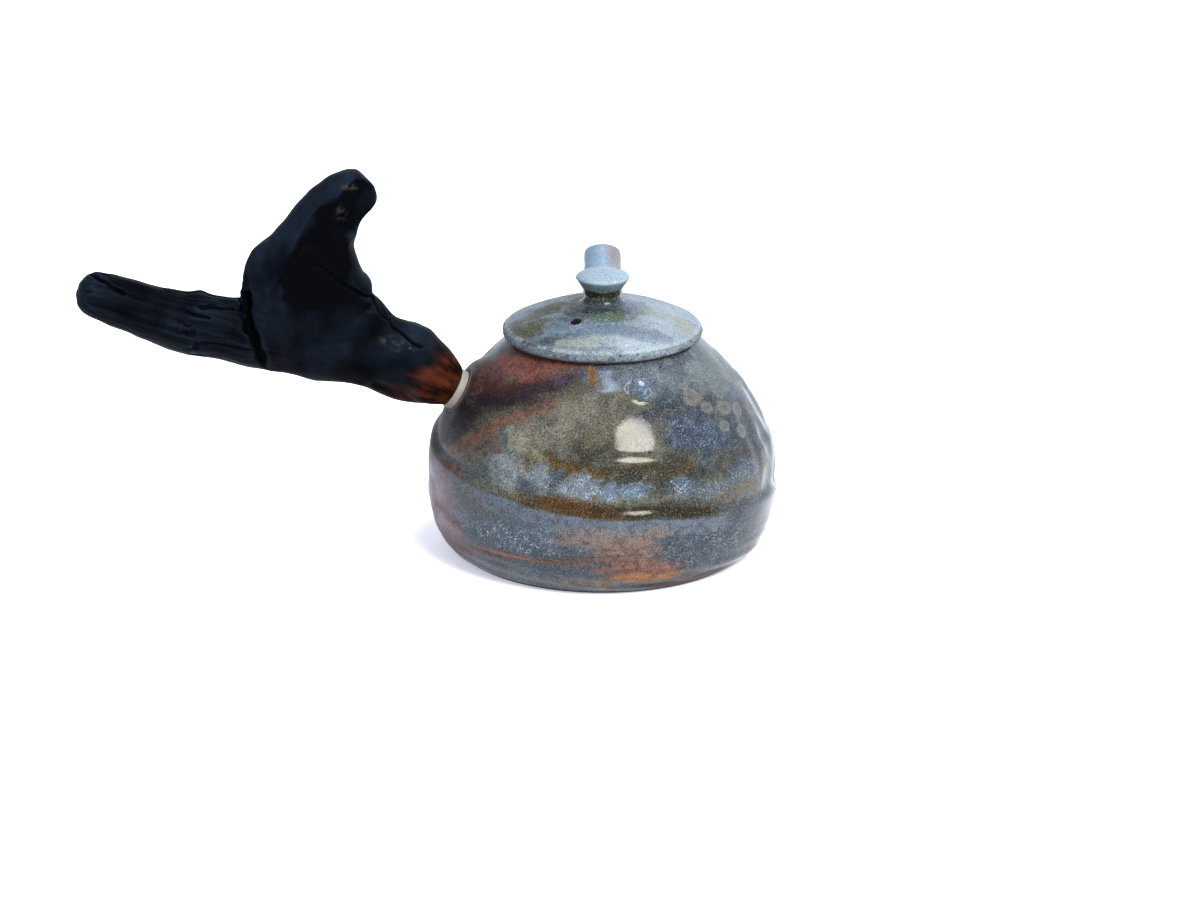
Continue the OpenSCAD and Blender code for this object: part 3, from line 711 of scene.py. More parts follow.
def ash_glaze(name, grain_mm, shine_range, pepper_most, salt_most, bump_mm):
    """Glaze over stoneware: two tints, gloss and crystal from the points, grain and pinholes from noise."""
    material, tree = new_material(name)
    coords = add_node(tree, "TexCoord")
    place = add_node(tree, "Mapping", {"Vector": coords.outputs["Object"], "Scale": PER_MM})
    tint, gloss, crystal, flash, flash_cover, streaky = (
        add_node(tree, "Attribute", attribute_name=key)
        for key in ("tint", "gloss", "crystal", "flash", "flash_cover", "streaky"))
    # Salt and pepper, with less pepper where the glaze is deep
    grain = add_node(tree, "TexNoise", {
        "Vector": place, "Scale": 1 / grain_mm, "Detail": 2.0, "Roughness": 0.6})
    iron = add_node(tree, "MapRange", {
        "Value": grain, "From Min": 0.52, "From Max": 0.32, "To Max": pepper_most})
    thin = add_node(tree, "MapRange", {"Value": crystal.outputs["Fac"], "To Min": 1.0, "To Max": 0.45})
    pepper = add_node(tree, "Math", {0: iron, 1: thin}, operation="MULTIPLY")
    shiny = add_node(tree, "MapRange", {
        "Value": gloss.outputs["Fac"], "From Max": 0.12, "To Max": salt_most})
    salt = add_node(tree, "MapRange", {"Value": grain, "From Min": 0.55, "From Max": 0.75, "To Max": shiny})
    # Milky crystals of about half a millimetre, in clumps
    flakes = add_node(tree, "TexVoronoi", {"Vector": place, "Scale": 1 / FLAKE_MM})
    flake = add_node(tree, "MapRange", {
        "Value": flakes.outputs["Distance"], "From Min": 0.5, "From Max": 0.08, "To Max": 0.8})
    clumps = add_node(tree, "TexNoise", {"Vector": place, "Scale": 1 / CLUMP_MM, "Detail": 2.0})
    clump = add_node(tree, "MapRange", {"Value": clumps, "From Min": 0.4, "From Max": 0.62, "To Min": 0.15})
    deep = add_node(tree, "Math", {0: clump, 1: crystal.outputs["Fac"]}, operation="MULTIPLY")
    milky = add_node(tree, "Math", {0: flake, 1: deep}, operation="MULTIPLY")
    ash = tint.outputs["Color"]
    for share, coat in ((pepper, "#1d1a16"), (salt, "#a3a69e"), (milky, "#bac8d6")):
        ash = add_node(tree, "Mix", {0: share, MIX_A: ash, MIX_B: srgb(coat)}, data_type="RGBA")
    # Flashed clay with the streaks that the turning left on the lower wall
    drawn = add_node(tree, "Mapping", {"Vector": place, "Scale": (0.03, 0.03, 0.75)})
    streaks = add_node(tree, "TexNoise", {"Vector": drawn, "Scale": 1.0, "Detail": 3.0})
    clay = flash.outputs["Color"]
    for start, end, most, coat in ((0.54, 0.68, 0.6, "#85603f"), (0.47, 0.36, 0.75, "#43221a")):
        streak = add_node(tree, "MapRange", {
            "Value": streaks, "From Min": start, "From Max": end, "To Max": most})
        low = add_node(tree, "Math", {0: streak, 1: streaky.outputs["Fac"]}, operation="MULTIPLY")
        clay = add_node(tree, "Mix", {0: low, MIX_A: clay, MIX_B: srgb(coat)}, data_type="RGBA")
    # Clouds of smoke on it, then soot and sand grain by grain
    for cause, start, end, most, coat in (
            (clumps, 0.55, 0.3, 0.5, "#1d1415"), (grain, 0.52, 0.3, 0.75, "#151013"),
            (grain, 0.56, 0.76, 0.22, "#a3928a")):
        share = add_node(tree, "MapRange", {
            "Value": cause, "From Min": start, "From Max": end, "To Max": most})
        clay = add_node(tree, "Mix", {0: share, MIX_A: clay, MIX_B: srgb(coat)}, data_type="RGBA")
    # The two layers meet in a spray of grains
    spray = add_node(tree, "TexNoise", {
        "Vector": place, "Scale": 1 / SPRAY_MM, "Detail": 3.0, "Roughness": 0.7})
    reach = add_node(tree, "Math", {
        0: spray, 1: 0.9, 2: flash_cover.outputs["Fac"]}, operation="MULTIPLY_ADD")
    over = add_node(tree, "MapRange", {"Value": reach, "From Min": 0.74, "From Max": 1.3})
    layers = add_node(tree, "Mix", {0: over, MIX_A: ash, MIX_B: clay}, data_type="RGBA")
    pits = add_node(tree, "TexVoronoi", {"Vector": place, "Scale": 1 / PINHOLE_MM})
    pit = add_node(tree, "MapRange", {
        "Value": pits.outputs["Distance"], "From Min": 0.034, "From Max": 0.022})
    colour = add_node(tree, "Mix", {0: pit, MIX_A: layers, MIX_B: srgb("#14110f")}, data_type="RGBA")
    rough = add_node(tree, "MapRange", {
        "Value": gloss.outputs["Fac"], "To Min": shine_range[0], "To Max": shine_range[1]})
    skin_waves = add_node(tree, "TexNoise", {"Vector": place, "Scale": 1 / WAVE_MM, "Detail": 1.0})
    waves = add_node(tree, "Bump", {"Height": skin_waves, "Strength": 0.4, "Distance": 0.05 * MM})
    bumps = add_node(tree, "Bump", {
        "Height": grain, "Strength": 0.5, "Distance": bump_mm * MM, "Normal": waves})
    shader = add_node(tree, "BsdfPrincipled", {
        "Base Color": colour, "Roughness": rough, "IOR": 1.52,
        "Specular IOR Level": 0.2, "Normal": bumps})
    add_node(tree, "OutputMaterial", {"Surface": shader})
    return material


# %% Glaze on the pot
def stand_for(piece, node, body, material):
    """Dresses a construction node: the piece takes its place, moves with its body and gets its finish."""
    piece.data.materials.append(material)
    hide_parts(node)
    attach(piece, body)
    low, high = box_mm(node)
    co = points_of(piece)
    sides = np.round(np.concatenate([co.min(0) - low, co.max(0) - high]), 1)
    print(f"{piece.name}: {len(piece.data.polygons)} faces, box off its node by {sides} mm")


GRAIN_MM = 0.45
pot_glaze = ash_glaze("wood_ash_glaze", GRAIN_MM, shine_range=(0.6, 0.07), pepper_most=0.85, salt_most=0.3,
                      bump_mm=0.025)
stand_for(pot, "pot_body", "pot", pot_glaze)

# %% [markdown]
# ## The spout
# A small thrown cone, luted to the far wall, of which only the tip shows over the lid. It is a turned outline
# too, but its foot has to follow the round wall: for each direction round the spout, the place where its
# outline meets the wall is found by halving an interval, all directions at once.

# %% Shape of the spout
SPOUT_L = 39
SPOUT_ROOT_R, SPOUT_TIP_R = 13.5, 6.2
BORE_ROOT_R, BORE_TIP_R = 10, 4.5
SPOUT_COLUMNS = 144
SPOUT_SINK = 0.8
LIP_R = 0.8
SPOUT_FLARE = 3
# Length over which the flare rounds off into a straight foot
FOOT_ROUNDING = 6


def spout_points(root_r, tip_r, s, turn):
    """Points of a cone that flares to its foot: radius = tip + (root - tip) (1 - t / length) ^ flare, where
    t = (s + sqrt(s^2 + rounding^2)) / 2 is the distance s from the wall, but never below nought."""
    t = np.minimum((s + np.hypot(s, FOOT_ROUNDING)) / 2, SPOUT_L)
    r = tip_r + (root_r - tip_r) * (1 - t / SPOUT_L) ** SPOUT_FLARE
    up = np.cross(spout_way, (1, 0, 0))
    return spout_foot + s[..., None] * spout_way + r[..., None] * (
        np.cos(turn)[..., None] * np.array([1, 0, 0]) + np.sin(turn)[..., None] * up)


def meets_wall(root_r, tip_r, turn):
    """Distance along the spout where its surface leaves the wall, for each direction."""
    low, high = np.full(turn.shape, -12.0), np.full(turn.shape, 16.0)
    for _ in range(30):
        middle = (low + high) / 2
        p = spout_points(root_r, tip_r, middle, turn)
        out = np.hypot(p[:, 0], p[:, 1]) > wall_radius(p[:, 2]) + wall_relief(p)
        low, high = np.where(out, low, middle), np.where(out, middle, high)
    return low


def spout_skin():
    """Closed skin of the spout: up the outside from the wall, over the lip, down the bore and back."""
    turn = np.linspace(0, 2 * np.pi, SPOUT_COLUMNS, endpoint=False)
    rise = np.linspace(0, 1, 60)[:, None]
    root = meets_wall(SPOUT_ROOT_R, SPOUT_TIP_R, turn) - SPOUT_SINK
    bore = meets_wall(BORE_ROOT_R, BORE_TIP_R, turn) - SPOUT_SINK
    outside = spout_points(SPOUT_ROOT_R, SPOUT_TIP_R, root + rise * (SPOUT_L - LIP_R - root), turn[None])
    inside = spout_points(BORE_ROOT_R, BORE_TIP_R, bore + rise[::-2] * (SPOUT_L - LIP_R - bore), turn[None])
    lip_turn = np.linspace(0, np.pi, 9)[:, None, None]
    middle, half = (outside[-1] + inside[0]) / 2, (outside[-1] - inside[0]) / 2
    lip = middle + half * np.cos(lip_turn) + LIP_R * np.sin(lip_turn) * spout_way
    grid = np.concatenate([outside[:-1], lip, inside[1:]])
    flat = grid.reshape(-1, 3)
    off_axis = flat - spout_foot - ((flat - spout_foot) @ spout_way)[:, None] * spout_way
    swell = 1 + 0.02 * soft_noise(flat, 8, 21) + 0.008 * np.sin((flat @ spout_way) * 2 * np.pi / 4.5)
    return (flat + off_axis * (swell - 1)[:, None]).reshape(grid.shape)


# %% Colours of the spout
def paint_spout(piece):
    """Blue-grey glaze that turns brown on the side where the flame passed; its foot takes the wall's tint."""
    points = points_of(piece)
    rough = soft_noise(points, 4, 22)
    tip = (points - spout_foot) @ spout_way
    tint = coats(np.tile(srgb("#a3bbd3"), (len(points), 1)),
                 (0.8 * fade(-1, 4.5, points[:, 0] + 2 * rough), "#a29284"),
                 (0.8 * fade(58, 50, points[:, 2] + 3 * rough), "#59625f"),
                 (0.6 * fade(SPOUT_L - 1.0, SPOUT_L, tip), "#8a9bab"))
    wall_tint = paint_wall(points)[0]
    off_wall = np.hypot(points[:, 0], points[:, 1]) - wall_radius(np.clip(points[:, 2], 0, RIM_Z))
    tint = lay_on(tint, fade(12, 2, off_wall + 2 * rough), wall_tint)
    store_glaze(piece, tint, np.full(len(points), 0.75), fade(0.2, 0.8, soft_noise(points, 6, 23)))


spout = make_piece("thrown_spout", *skin(spout_skin(), loop=True))
paint_spout(spout)
spout_glaze = ash_glaze("smooth_spout_glaze", GRAIN_MM, shine_range=(0.6, 0.25), pepper_most=0.3,
                        salt_most=0.15, bump_mm=0.02)
stand_for(spout, "spout", "pot", spout_glaze)

# %% [markdown]
# ## The lid, its flange and its knob
# The lid is a flat saucer with a low crown. Its rim is dry and sandy where the ash did not melt, its top is
# satin and mottled. Underneath, a thrown ring keeps it in the mouth. The knob was turned separately: a small
# foot, a waist where the glaze gathered amber, and a wide cap. All three are turned outlines with a little
# uneven wobble, and the steam hole is drilled as the holes of the body are.

# %% Shape of the lid
lid_low, lid_high = box_mm("lid_disc")
LID_R = (lid_high[0] - lid_low[0]) / 2
LID_EDGE_Z = RIM_Z + 2.8
LID_DOME = 8.5
LID_CROWN = 3
HOLLOW_R = 22
FLANGE_R = 24.4
FLANGE_H = 6
PAD_R = 8.5
STEAM_HOLE_R = 1.5
STEAM_HOLE_OUT = 17.4
STEAM_HOLE_TURN = np.radians(241.5)
LID_COLUMNS = 420
steam_hole = np.array([STEAM_HOLE_OUT * np.cos(STEAM_HOLE_TURN),
                       STEAM_HOLE_OUT * np.sin(STEAM_HOLE_TURN), RIM_Z])


def lid_top(r):
    """Height of the lid's upper side at a radius: a parabola from the crown to the edge."""
    return LID_EDGE_Z + LID_DOME * (1 - (r / LID_R) ** 2)


def lid_skin():
    """Closed skin of the lid: hollow underside, flat seat, upright sandy edge, mottled top."""
    under_r = np.linspace(1.5, HOLLOW_R, 14)
    under = np.stack([under_r, lid_top(np.maximum(under_r, PAD_R)) - LID_CROWN], -1)
    seat = np.array([[HOLLOW_R, RIM_Z + 0.4], [HOLLOW_R + 0.3, RIM_Z], [27, RIM_Z], [30.4, RIM_Z]])
    # Places on the edge: how far inside the full radius, and the height above the rim
    bead = np.array([LID_R, RIM_Z]) + (-1, 1) * np.array([
        [0.85, 0.12], [0.45, 0.4], [0.22, 0.8], [0.12, 1.25], [0.08, 1.7], [0.1, 2.1], [0.2, 2.45],
        [0.45, 2.75], [0.8, 2.98]])
    top_r = np.linspace(LID_R - 1.2, 1, 84)
    top = np.stack([top_r, lid_top(np.maximum(top_r, PAD_R))], -1)
    grid = turned(np.concatenate([under, seat, bead, top]), LID_COLUMNS)
    flat = grid.reshape(-1, 3)
    r = np.hypot(flat[:, 0], flat[:, 1])
    edge = fade(LID_R - 1.6, LID_R - 0.5, r) * fade(RIM_Z, RIM_Z + 0.6, flat[:, 2])
    upper = fade(RIM_Z + 1.5, RIM_Z + 3, flat[:, 2]) * fade(PAD_R, PAD_R + 3, r)
    out = edge * (noise_sum(flat, (0.16, 0.9, 31), (0.12, 2.5, 32)) - 0.06)
    up = upper * (0.06 * np.cos(2 * np.pi * r / 3.4 + soft_noise(flat, 15, 33))
                  + noise_sum(flat, (0.10, 7, 34), (0.03, 1.2, 35)))
    flat = flat + out[:, None] * flat * (1, 1, 0) / r[:, None] + up[:, None] * (0, 0, 1)
    return flat.reshape(grid.shape)


# %% Colours of the lid
LID_GROUND, LID_EDGE, LID_CLAY = "#82939c", "#83919a", "#77695c"
# Patches of the lid's top: tint, place across, place away, half width, half depth, raggedness, cover
LID_PATCHES = [
    # The pale patches on the right and the dark olive ones on the left are partly glaze clouds and partly
    # painted light and shade: the lid is painted lighter on the right, where the light falls, and darker on
    # the left
    ("#b0bec6", 18, -6, 17, 22, 0.5, 0.9), ("#b7c5cb", 13, -25, 17, 6, 0.5, 0.9),
    ("#8c99a2", 2, 20, 28, 11, 0.5, 0.8), ("#433f28", -16, -2, 8, 6.5, 0.6, 1.0),
    ("#5a573f", -24.5, -11.5, 8.5, 9, 0.6, 1.0), ("#46545f", -19.5, -23.5, 13, 4.5, 0.6, 0.95),
    # The dark patch at -1, -9.5 in front of the knob is a painted shadow and a painted reflection of the knob
    ("#212c33", -1, -9.5, 12, 7, 0.5, 0.95), ("#5d7148", 2, -13.5, 8, 3, 0.7, 0.85),
    ("#6b738c", 10, -3, 5.5, 5.5, 0.7, 0.7), ("#5d6f88", 5, -20, 16, 3.2, 0.9, 0.65),
    ("#b2baae", -7.5, -25.5, 9, 2.6, 0.7, 0.8), ("#8f9f80", 17, -6.5, 5, 4, 0.8, 0.6),
    ("#a8a48c", 25.5, -8, 4, 5.5, 0.7, 0.6), ("#5a6a7a", -13, -16, 6, 4, 0.7, 0.6),
    ("#5c583f", -12, 12, 9, 6, 0.7, 0.7), ("#75829a", 8, 22, 10, 5, 0.6, 0.5),
]


def paint_lid(piece):
    """Speckled blue-grey top with darker and paler clouds, painted lighter on the right and with a painted
    shadow before the knob; sandy edge with a painted highlight on its upper corner; bare clay underneath;
    steam hole painted dark as shade.
    """
    points = points_of(piece)
    x, y, z = points.T
    r = np.hypot(x, y)
    rough = noise_sum(points, (0.6, 4, 36), (0.5, 1.6, 37))
    grit = soft_noise(points, 0.9, 39)
    tint = np.tile(srgb(LID_GROUND), (len(points), 1))
    for colour, mid_x, mid_y, half_x, half_y, ragged, cover in LID_PATCHES:
        away = np.hypot((x - mid_x) / half_x, (y - mid_y) / half_y) + ragged * rough + 0.25 * grit
        tint = lay_on(tint, cover * fade(1.5, 0.3, away), srgb(colour))
    edge = fade(LID_R - 0.75, LID_R - 0.45, r)
    # corner: a pale line on the upper corner of the edge, painted as a highlight
    corner = fade(LID_R - 2.2, LID_R - 1.2, r) * (1 - edge) * fade(RIM_Z + 2.2, RIM_Z + 2.6, z)
    below = fade(RIM_Z + 0.9, RIM_Z + 0.2, z)
    below = np.clip(below + fade(1.2, 2.0, lid_top(r) - z) * fade(LID_R - 3, LID_R - 6, r), 0, 1)
    from_hole = np.hypot(x - steam_hole[0], y - steam_hole[1])
    # painted shade: the steam hole and its rim are painted near-black, where it lies in shade
    hole = fade(STEAM_HOLE_R + 0.45, STEAM_HOLE_R + 0.1, from_hole)
    tint = coats(tint, (0.9 * edge, LID_EDGE),
                 (0.6 * edge * fade(0.15, 0.6, grit), "#2b3133"),
                 (0.5 * edge * fade(-0.2, -0.7, grit), "#8d9ba3"),
                 (0.8 * edge * fade(RIM_Z + 1.1, RIM_Z + 0.4, z + 0.6 * rough), "#363d40"),
                 (0.7 * corner * fade(0.5, -0.2, grit), "#b9c5ca"), (below, LID_CLAY), (hole, "#120805"))
    gloss = np.full(len(points), 0.58)
    for mask, shine in ((edge, 0.1), (below, 0.0), (hole, 0.0)):
        gloss = lay_on(gloss, mask, shine)
    store_glaze(piece, tint, gloss, 0.6 * fade(-0.1, 0.7, soft_noise(points, 9, 38)))


# %% Lid
lid = make_piece("crowned_lid", *skin(lid_skin()))
drill(lid, STEAM_HOLE_R, steam_hole, (0, 0, 1), (1, 0, 0), HOLE_REACH)
paint_lid(lid)
lid_glaze = ash_glaze("satin_lid_glaze", grain_mm=0.42, shine_range=(0.85, 0.12), pepper_most=0.65,
                      salt_most=0.5, bump_mm=0.09)
stand_for(lid, "lid_disc", "lid", lid_glaze)

# %% Knob
KNOB_FOOT_R, KNOB_WAIST_R, KNOB_CAP_R = 7.8, 5.7, 8.5
KNOB_FLARE_H = 2.8
KNOB_COLUMNS = 144
KNOB_WAIST_H, KNOB_CAP_H, KNOB_CROWN = 4, 8.2, 2.4
PAD_Z = box_mm("lid_knob")[0][2]
KNOB_WAIST, KNOB_SIDE, KNOB_CAP = "#37311c", "#77898f", "#afc4d0"
KNOB_FLARE, KNOB_FOOT = "#3c464a", "#4f5b61"


def knob_skin():
    """Closed skin of the knob: flared foot, waist, slanting underside of the cap, bevelled rim, low crown."""
    flare = np.radians(np.linspace(0, 90, 14))
    foot = np.stack([KNOB_FOOT_R - (KNOB_FOOT_R - KNOB_WAIST_R) * np.sin(flare),
                     KNOB_FLARE_H * (1 - np.cos(flare))], -1)
    t = np.linspace(0.05, 0.86, 14)
    under = np.stack([KNOB_WAIST_R + (KNOB_CAP_R - KNOB_WAIST_R) * t ** 0.8,
                      KNOB_WAIST_H + (KNOB_CAP_H - KNOB_WAIST_H) * t], -1)
    rim = np.array([[8.35, 7.75], [8.5, 8.1], [8.42, 8.5], [8.1, 8.85]])
    crown_r = np.linspace(7.6, 0.6, 22)
    crown = np.stack([crown_r, KNOB_CAP_H + KNOB_CROWN * (1 - 0.75 * (crown_r / KNOB_CAP_R) ** 2)], -1)
    outline = np.concatenate([[[2, 0]], foot, under, rim, crown])
    grid = turned(outline, KNOB_COLUMNS, (0, 0, PAD_Z))
    flat = grid.reshape(-1, 3)
    r = np.hypot(flat[:, 0], flat[:, 1])
    high = fade(PAD_Z + 5, PAD_Z + 8, flat[:, 2])
    out = high * noise_sum(flat, (0.10, 1.1, 41), (0.16, 4, 42)) - 0.06
    flat = flat + (out / np.maximum(r, 1))[:, None] * flat * (1, 1, 0)
    flat[:, 2] += 0.05 * high * soft_noise(flat, 1.1, 43)
    return flat.reshape(grid.shape)


def paint_knob(piece):
    """Pale blue-grey cap, darker slanting side, dark amber glaze gathered in the waist, slate foot."""
    points = points_of(piece)
    z = points[:, 2] - PAD_Z + 0.5 * soft_noise(points, 2.5, 44)
    tint = coats(np.tile(srgb(KNOB_WAIST), (len(points), 1)),
                 (fade(4.2, 5.2, z), KNOB_SIDE), (fade(7.2, 8.2, z), KNOB_CAP),
                 (fade(2.9, 1.8, z), KNOB_FLARE), (fade(1.6, 0.3, z), KNOB_FOOT))
    gloss = lay_on(np.full(len(points), 1.0), fade(4.2, 5.6, z), 0.5)
    store_glaze(piece, tint, gloss, 0.5 * fade(6, 8, z))


knob = make_piece("turned_knob", *skin(knob_skin()))
paint_knob(knob)
stand_for(knob, "lid_knob", "lid", lid_glaze)

# %% [markdown]
# ## Bare clay
# The flange of the lid, the strainer and the socket of the handle were left without glaze. Fired stoneware is
# matte and sandy, brown-grey with darker iron specks of about a millimetre.

# %% Bare stoneware
# Sizes in mm: clouds of colour, grains of sand, the spacing of iron specks
CLOUD_MM, SAND_MM, SPECK_MM = 6, 0.7, 2.6


def bare_stoneware(name, tint, warm_tint):
    """Unglazed fired clay: matte, sandy, with iron specks."""
    material, tree = new_material(name)
    coords = add_node(tree, "TexCoord")
    place = add_node(tree, "Mapping", {"Vector": coords.outputs["Object"], "Scale": PER_MM})
    cloud = add_node(tree, "TexNoise", {"Vector": place, "Scale": 1 / CLOUD_MM, "Detail": 3.0})
    sand = add_node(tree, "TexNoise", {"Vector": place, "Scale": 1 / SAND_MM, "Detail": 2.0})
    specks = add_node(tree, "TexVoronoi", {"Vector": place, "Scale": 1 / SPECK_MM})
    speck = add_node(tree, "MapRange", {
        "Value": specks.outputs["Distance"], "From Min": 0.2, "From Max": 0.12, "To Max": 0.8})
    colour = srgb(tint)
    for share, coat in ((cloud, warm_tint), (sand, "#5f554d"), (speck, "#2c221d")):
        colour = add_node(tree, "Mix", {0: share, MIX_A: colour, MIX_B: srgb(coat)}, data_type="RGBA")
    bumps = add_node(tree, "Bump", {"Height": sand, "Strength": 0.6, "Distance": 0.12 * MM})
    shader = add_node(tree, "BsdfPrincipled", {
        "Base Color": colour, "Roughness": 0.8, "IOR": 1.5, "Normal": bumps})
    add_node(tree, "OutputMaterial", {"Surface": shader})
    return material


# %% Flange, strainer and socket
def rounded(corners, radius, steps=6):
    """Closed outline with each corner swung round: a parabola between the points `radius` away from it."""
    corner = np.array(corners, float)
    to_last, to_next = np.roll(corner, 1, 0) - corner, np.roll(corner, -1, 0) - corner
    to_last *= radius / np.linalg.norm(to_last, axis=1, keepdims=True)
    to_next *= radius / np.linalg.norm(to_next, axis=1, keepdims=True)
    t = np.linspace(0, 1, steps)[None, :, None]
    return (corner[:, None] + (1 - t) ** 2 * to_last[:, None] + t ** 2 * to_next[:, None]).reshape(-1, 2)


def refinish(node, material):
    """Gives a construction node that keeps its own solid a finish."""
    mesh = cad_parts[node].data
    mesh.materials.clear()
    mesh.materials.append(material)
    print(node, "keeps its solid, in", material.name)


FLANGE_COLUMNS = 240
FLANGE_ROUND = 0.8
clay = bare_stoneware("bare_stoneware", "#7d6a5b", "#8a6d58")
flange_outline = rounded([(HOLLOW_R, RIM_Z - FLANGE_H), (FLANGE_R, RIM_Z - FLANGE_H), (FLANGE_R, RIM_Z),
                          (HOLLOW_R, RIM_Z)], FLANGE_ROUND)
flange_grid = turned(flange_outline, FLANGE_COLUMNS)
flange_flat = flange_grid.reshape(-1, 3)
flange_flat = flange_flat * (1 + 0.003 * soft_noise(flange_flat, 6, 51)[:, None] * (1, 1, 0))
flange = make_piece("lid_ring", *skin(flange_flat.reshape(flange_grid.shape), loop=True))
stand_for(flange, "lid_flange", "lid", clay)

refinish("strainer", clay)
refinish("handle_socket", bare_stoneware("smoked_stoneware", "#3d383b", "#554b4a"))

# %% [markdown]
# ## The pale bush
# Between clay and wood sits a pale ring that takes up the movement of the wood. It is drawn as a turned bush:
# a sleeve round the dowel, hidden in the socket, and the ring that shows, slightly worn, and darker and
# browner in blotches towards its lower side.

# %% Shape of the bush
RING_START, RING_END = 0.5, 2.9
RING_R = 6.5
SLEEVE_R, BUSH_BORE_R = 5.15, 4.05
SLEEVE_IN = 13.5
BUSH_COLUMNS = 120
BUSH_ROUND = 0.35
bush_outline = rounded([(BUSH_BORE_R, -SLEEVE_IN), (SLEEVE_R, -SLEEVE_IN), (SLEEVE_R, RING_START),
                        (RING_R, RING_START), (RING_R, RING_END), (BUSH_BORE_R, RING_END)], BUSH_ROUND)
bush_grid = turned(bush_outline, BUSH_COLUMNS, handle_foot, handle_way, handle_side)
bush_flat = bush_grid.reshape(-1, 3)
bush_way = bush_flat - handle_foot - ((bush_flat - handle_foot) @ handle_way)[:, None] * handle_way
bush_flat = bush_flat + 0.02 * soft_noise(bush_flat, 3, 61)[:, None] * bush_way
bush = make_piece("pale_ring", *skin(bush_flat.reshape(bush_grid.shape), loop=True))


# %% Pale and brown wood
# Sizes in mm: pores of the end grain, and brown blotches on it
PORE_MM, BROWN_BLOTCH_MM = 0.8, 4
# Along the dowel its grain changes at this share of its pace across
DOWEL_DRAW = 0.06
# Heights between which the ring turns darker and browner towards its lower side
DARKER_FROM_Z, DARKER_TO_Z = 56, 48


def pale_wood():
    """Bleached end grain of a pale wood: cream, matte, with fine rings, darker and browner in blotches low
    down.
    """
    material, tree = new_material("pale_end_grain")
    coords = add_node(tree, "TexCoord")
    place = add_node(tree, "Mapping", {"Vector": coords.outputs["Object"], "Scale": PER_MM})
    pores = add_node(tree, "TexNoise", {"Vector": place, "Scale": 1 / PORE_MM, "Detail": 3.0})
    brown_blotch = add_node(tree, "TexNoise", {"Vector": place, "Scale": 1 / BROWN_BLOTCH_MM, "Detail": 2.0})
    height = add_node(tree, "SeparateXYZ", {0: place})
    low = add_node(tree, "MapRange", {
        "Value": height.outputs["Z"], "From Min": DARKER_FROM_Z, "From Max": DARKER_TO_Z, "To Max": 0.9})
    # darker and browner in blotches towards the lower side
    soot = add_node(tree, "Math", {0: low, 1: brown_blotch}, operation="MULTIPLY")
    fibre = add_node(tree, "Mix", {
        0: pores, MIX_A: srgb("#918d86"), MIX_B: srgb("#756f66")}, data_type="RGBA")
    colour = add_node(tree, "Mix", {0: soot, MIX_A: fibre, MIX_B: srgb("#6f5a45")}, data_type="RGBA")
    bumps = add_node(tree, "Bump", {"Height": pores, "Strength": 0.5, "Distance": 0.1 * MM})
    shader = add_node(tree, "BsdfPrincipled", {
        "Base Color": colour, "Roughness": 0.65, "IOR": 1.5, "Normal": bumps})
    add_node(tree, "OutputMaterial", {"Surface": shader})
    return material


def dowel_wood():
    """Turned hardwood: straight brown grain about a millimetre apart, along the dowel."""
    material, tree = new_material("turned_hardwood")
    coords = add_node(tree, "TexCoord")
    turn = (0, float(HANDLE_PITCH), float(-np.radians(HANDLE_YAW)))
    place = add_node(tree, "Mapping", {"Vector": coords.outputs["Object"], "Scale": PER_MM, "Rotation": turn})
    drawn = add_node(tree, "Mapping", {"Vector": place, "Scale": (DOWEL_DRAW, 1, 1)})
    grain = add_node(tree, "TexNoise", {"Vector": drawn, "Scale": 1.0, "Detail": 3.0})
    colour = add_node(tree, "Mix", {
        0: grain, MIX_A: srgb("#b98f62"), MIX_B: srgb("#7d5634")}, data_type="RGBA")
    shader = add_node(tree, "BsdfPrincipled", {"Base Color": colour, "Roughness": 0.55, "IOR": 1.5})
    add_node(tree, "OutputMaterial", {"Surface": shader})
    return material


# %% Bush and dowel
stand_for(bush, "collar_bush", "pot", pale_wood())
refinish("tenon_dowel", dowel_wood())

# %% [markdown]
# ## The branch
# The handle is a real fork: a limb that runs from the pale ring to the cut tail, and a thick prong that rises
# from it and leans back over the pot. Each is a row of ovals along a curve through listed stations. The
# two skins are fused by a voxel remesh, because a fork has no tidy grid of its own, and the dense mesh that
# it leaves is then carved with arrays: flat facets, cracks, grain and worn edges.

# %% Stations of the limb and the prong
WOOD_FACE = RING_END
TAIL_REACH, TAIL_RISE = 116, 36
PRONG_ROOT, PRONG_RISE = 45, 71
LIMB_HALF_H, PRONG_HALF_W, BRANCH_HALF_T = 15.4, 20.4, 12
wood_out = wall_radius(SOCKET_Z) + WOOD_FACE * np.cos(HANDLE_PITCH)
wood_up = SOCKET_Z + WOOD_FACE * np.sin(HANDLE_PITCH)
# Shares of the reach, the rise, the half height, the half thickness, and of that again for the sideways bend
LIMB_STATIONS = np.array([
    [0.000, 0.000, RING_R / LIMB_HALF_H, RING_R / BRANCH_HALF_T, 0],
    [0.026, 0.061, 0.54, 0.66, 0], [0.060, 0.135, 0.67, 0.78, 0], [0.098, 0.214, 0.75, 0.88, -0.02],
    [0.141, 0.295, 0.79, 0.94, -0.05], [0.192, 0.365, 0.81, 0.98, -0.07], [0.248, 0.480, 1.00, 1.00, -0.07],
    [0.325, 0.490, 0.91, 1.00, -0.03], [0.419, 0.505, 0.78, 0.98, 0.03], [0.513, 0.540, 0.71, 0.92, 0.12],
    [0.607, 0.610, 0.69, 0.85, 0.22], [0.705, 0.680, 0.66, 0.80, 0.28], [0.803, 0.770, 0.60, 0.75, 0.32],
    [0.897, 0.890, 0.55, 0.70, 0.32], [0.957, 0.962, 0.47, 0.62, 0.30], [0.986, 0.994, 0.36, 0.47, 0.29],
    [0.998, 1.008, 0.19, 0.25, 0.28],
])
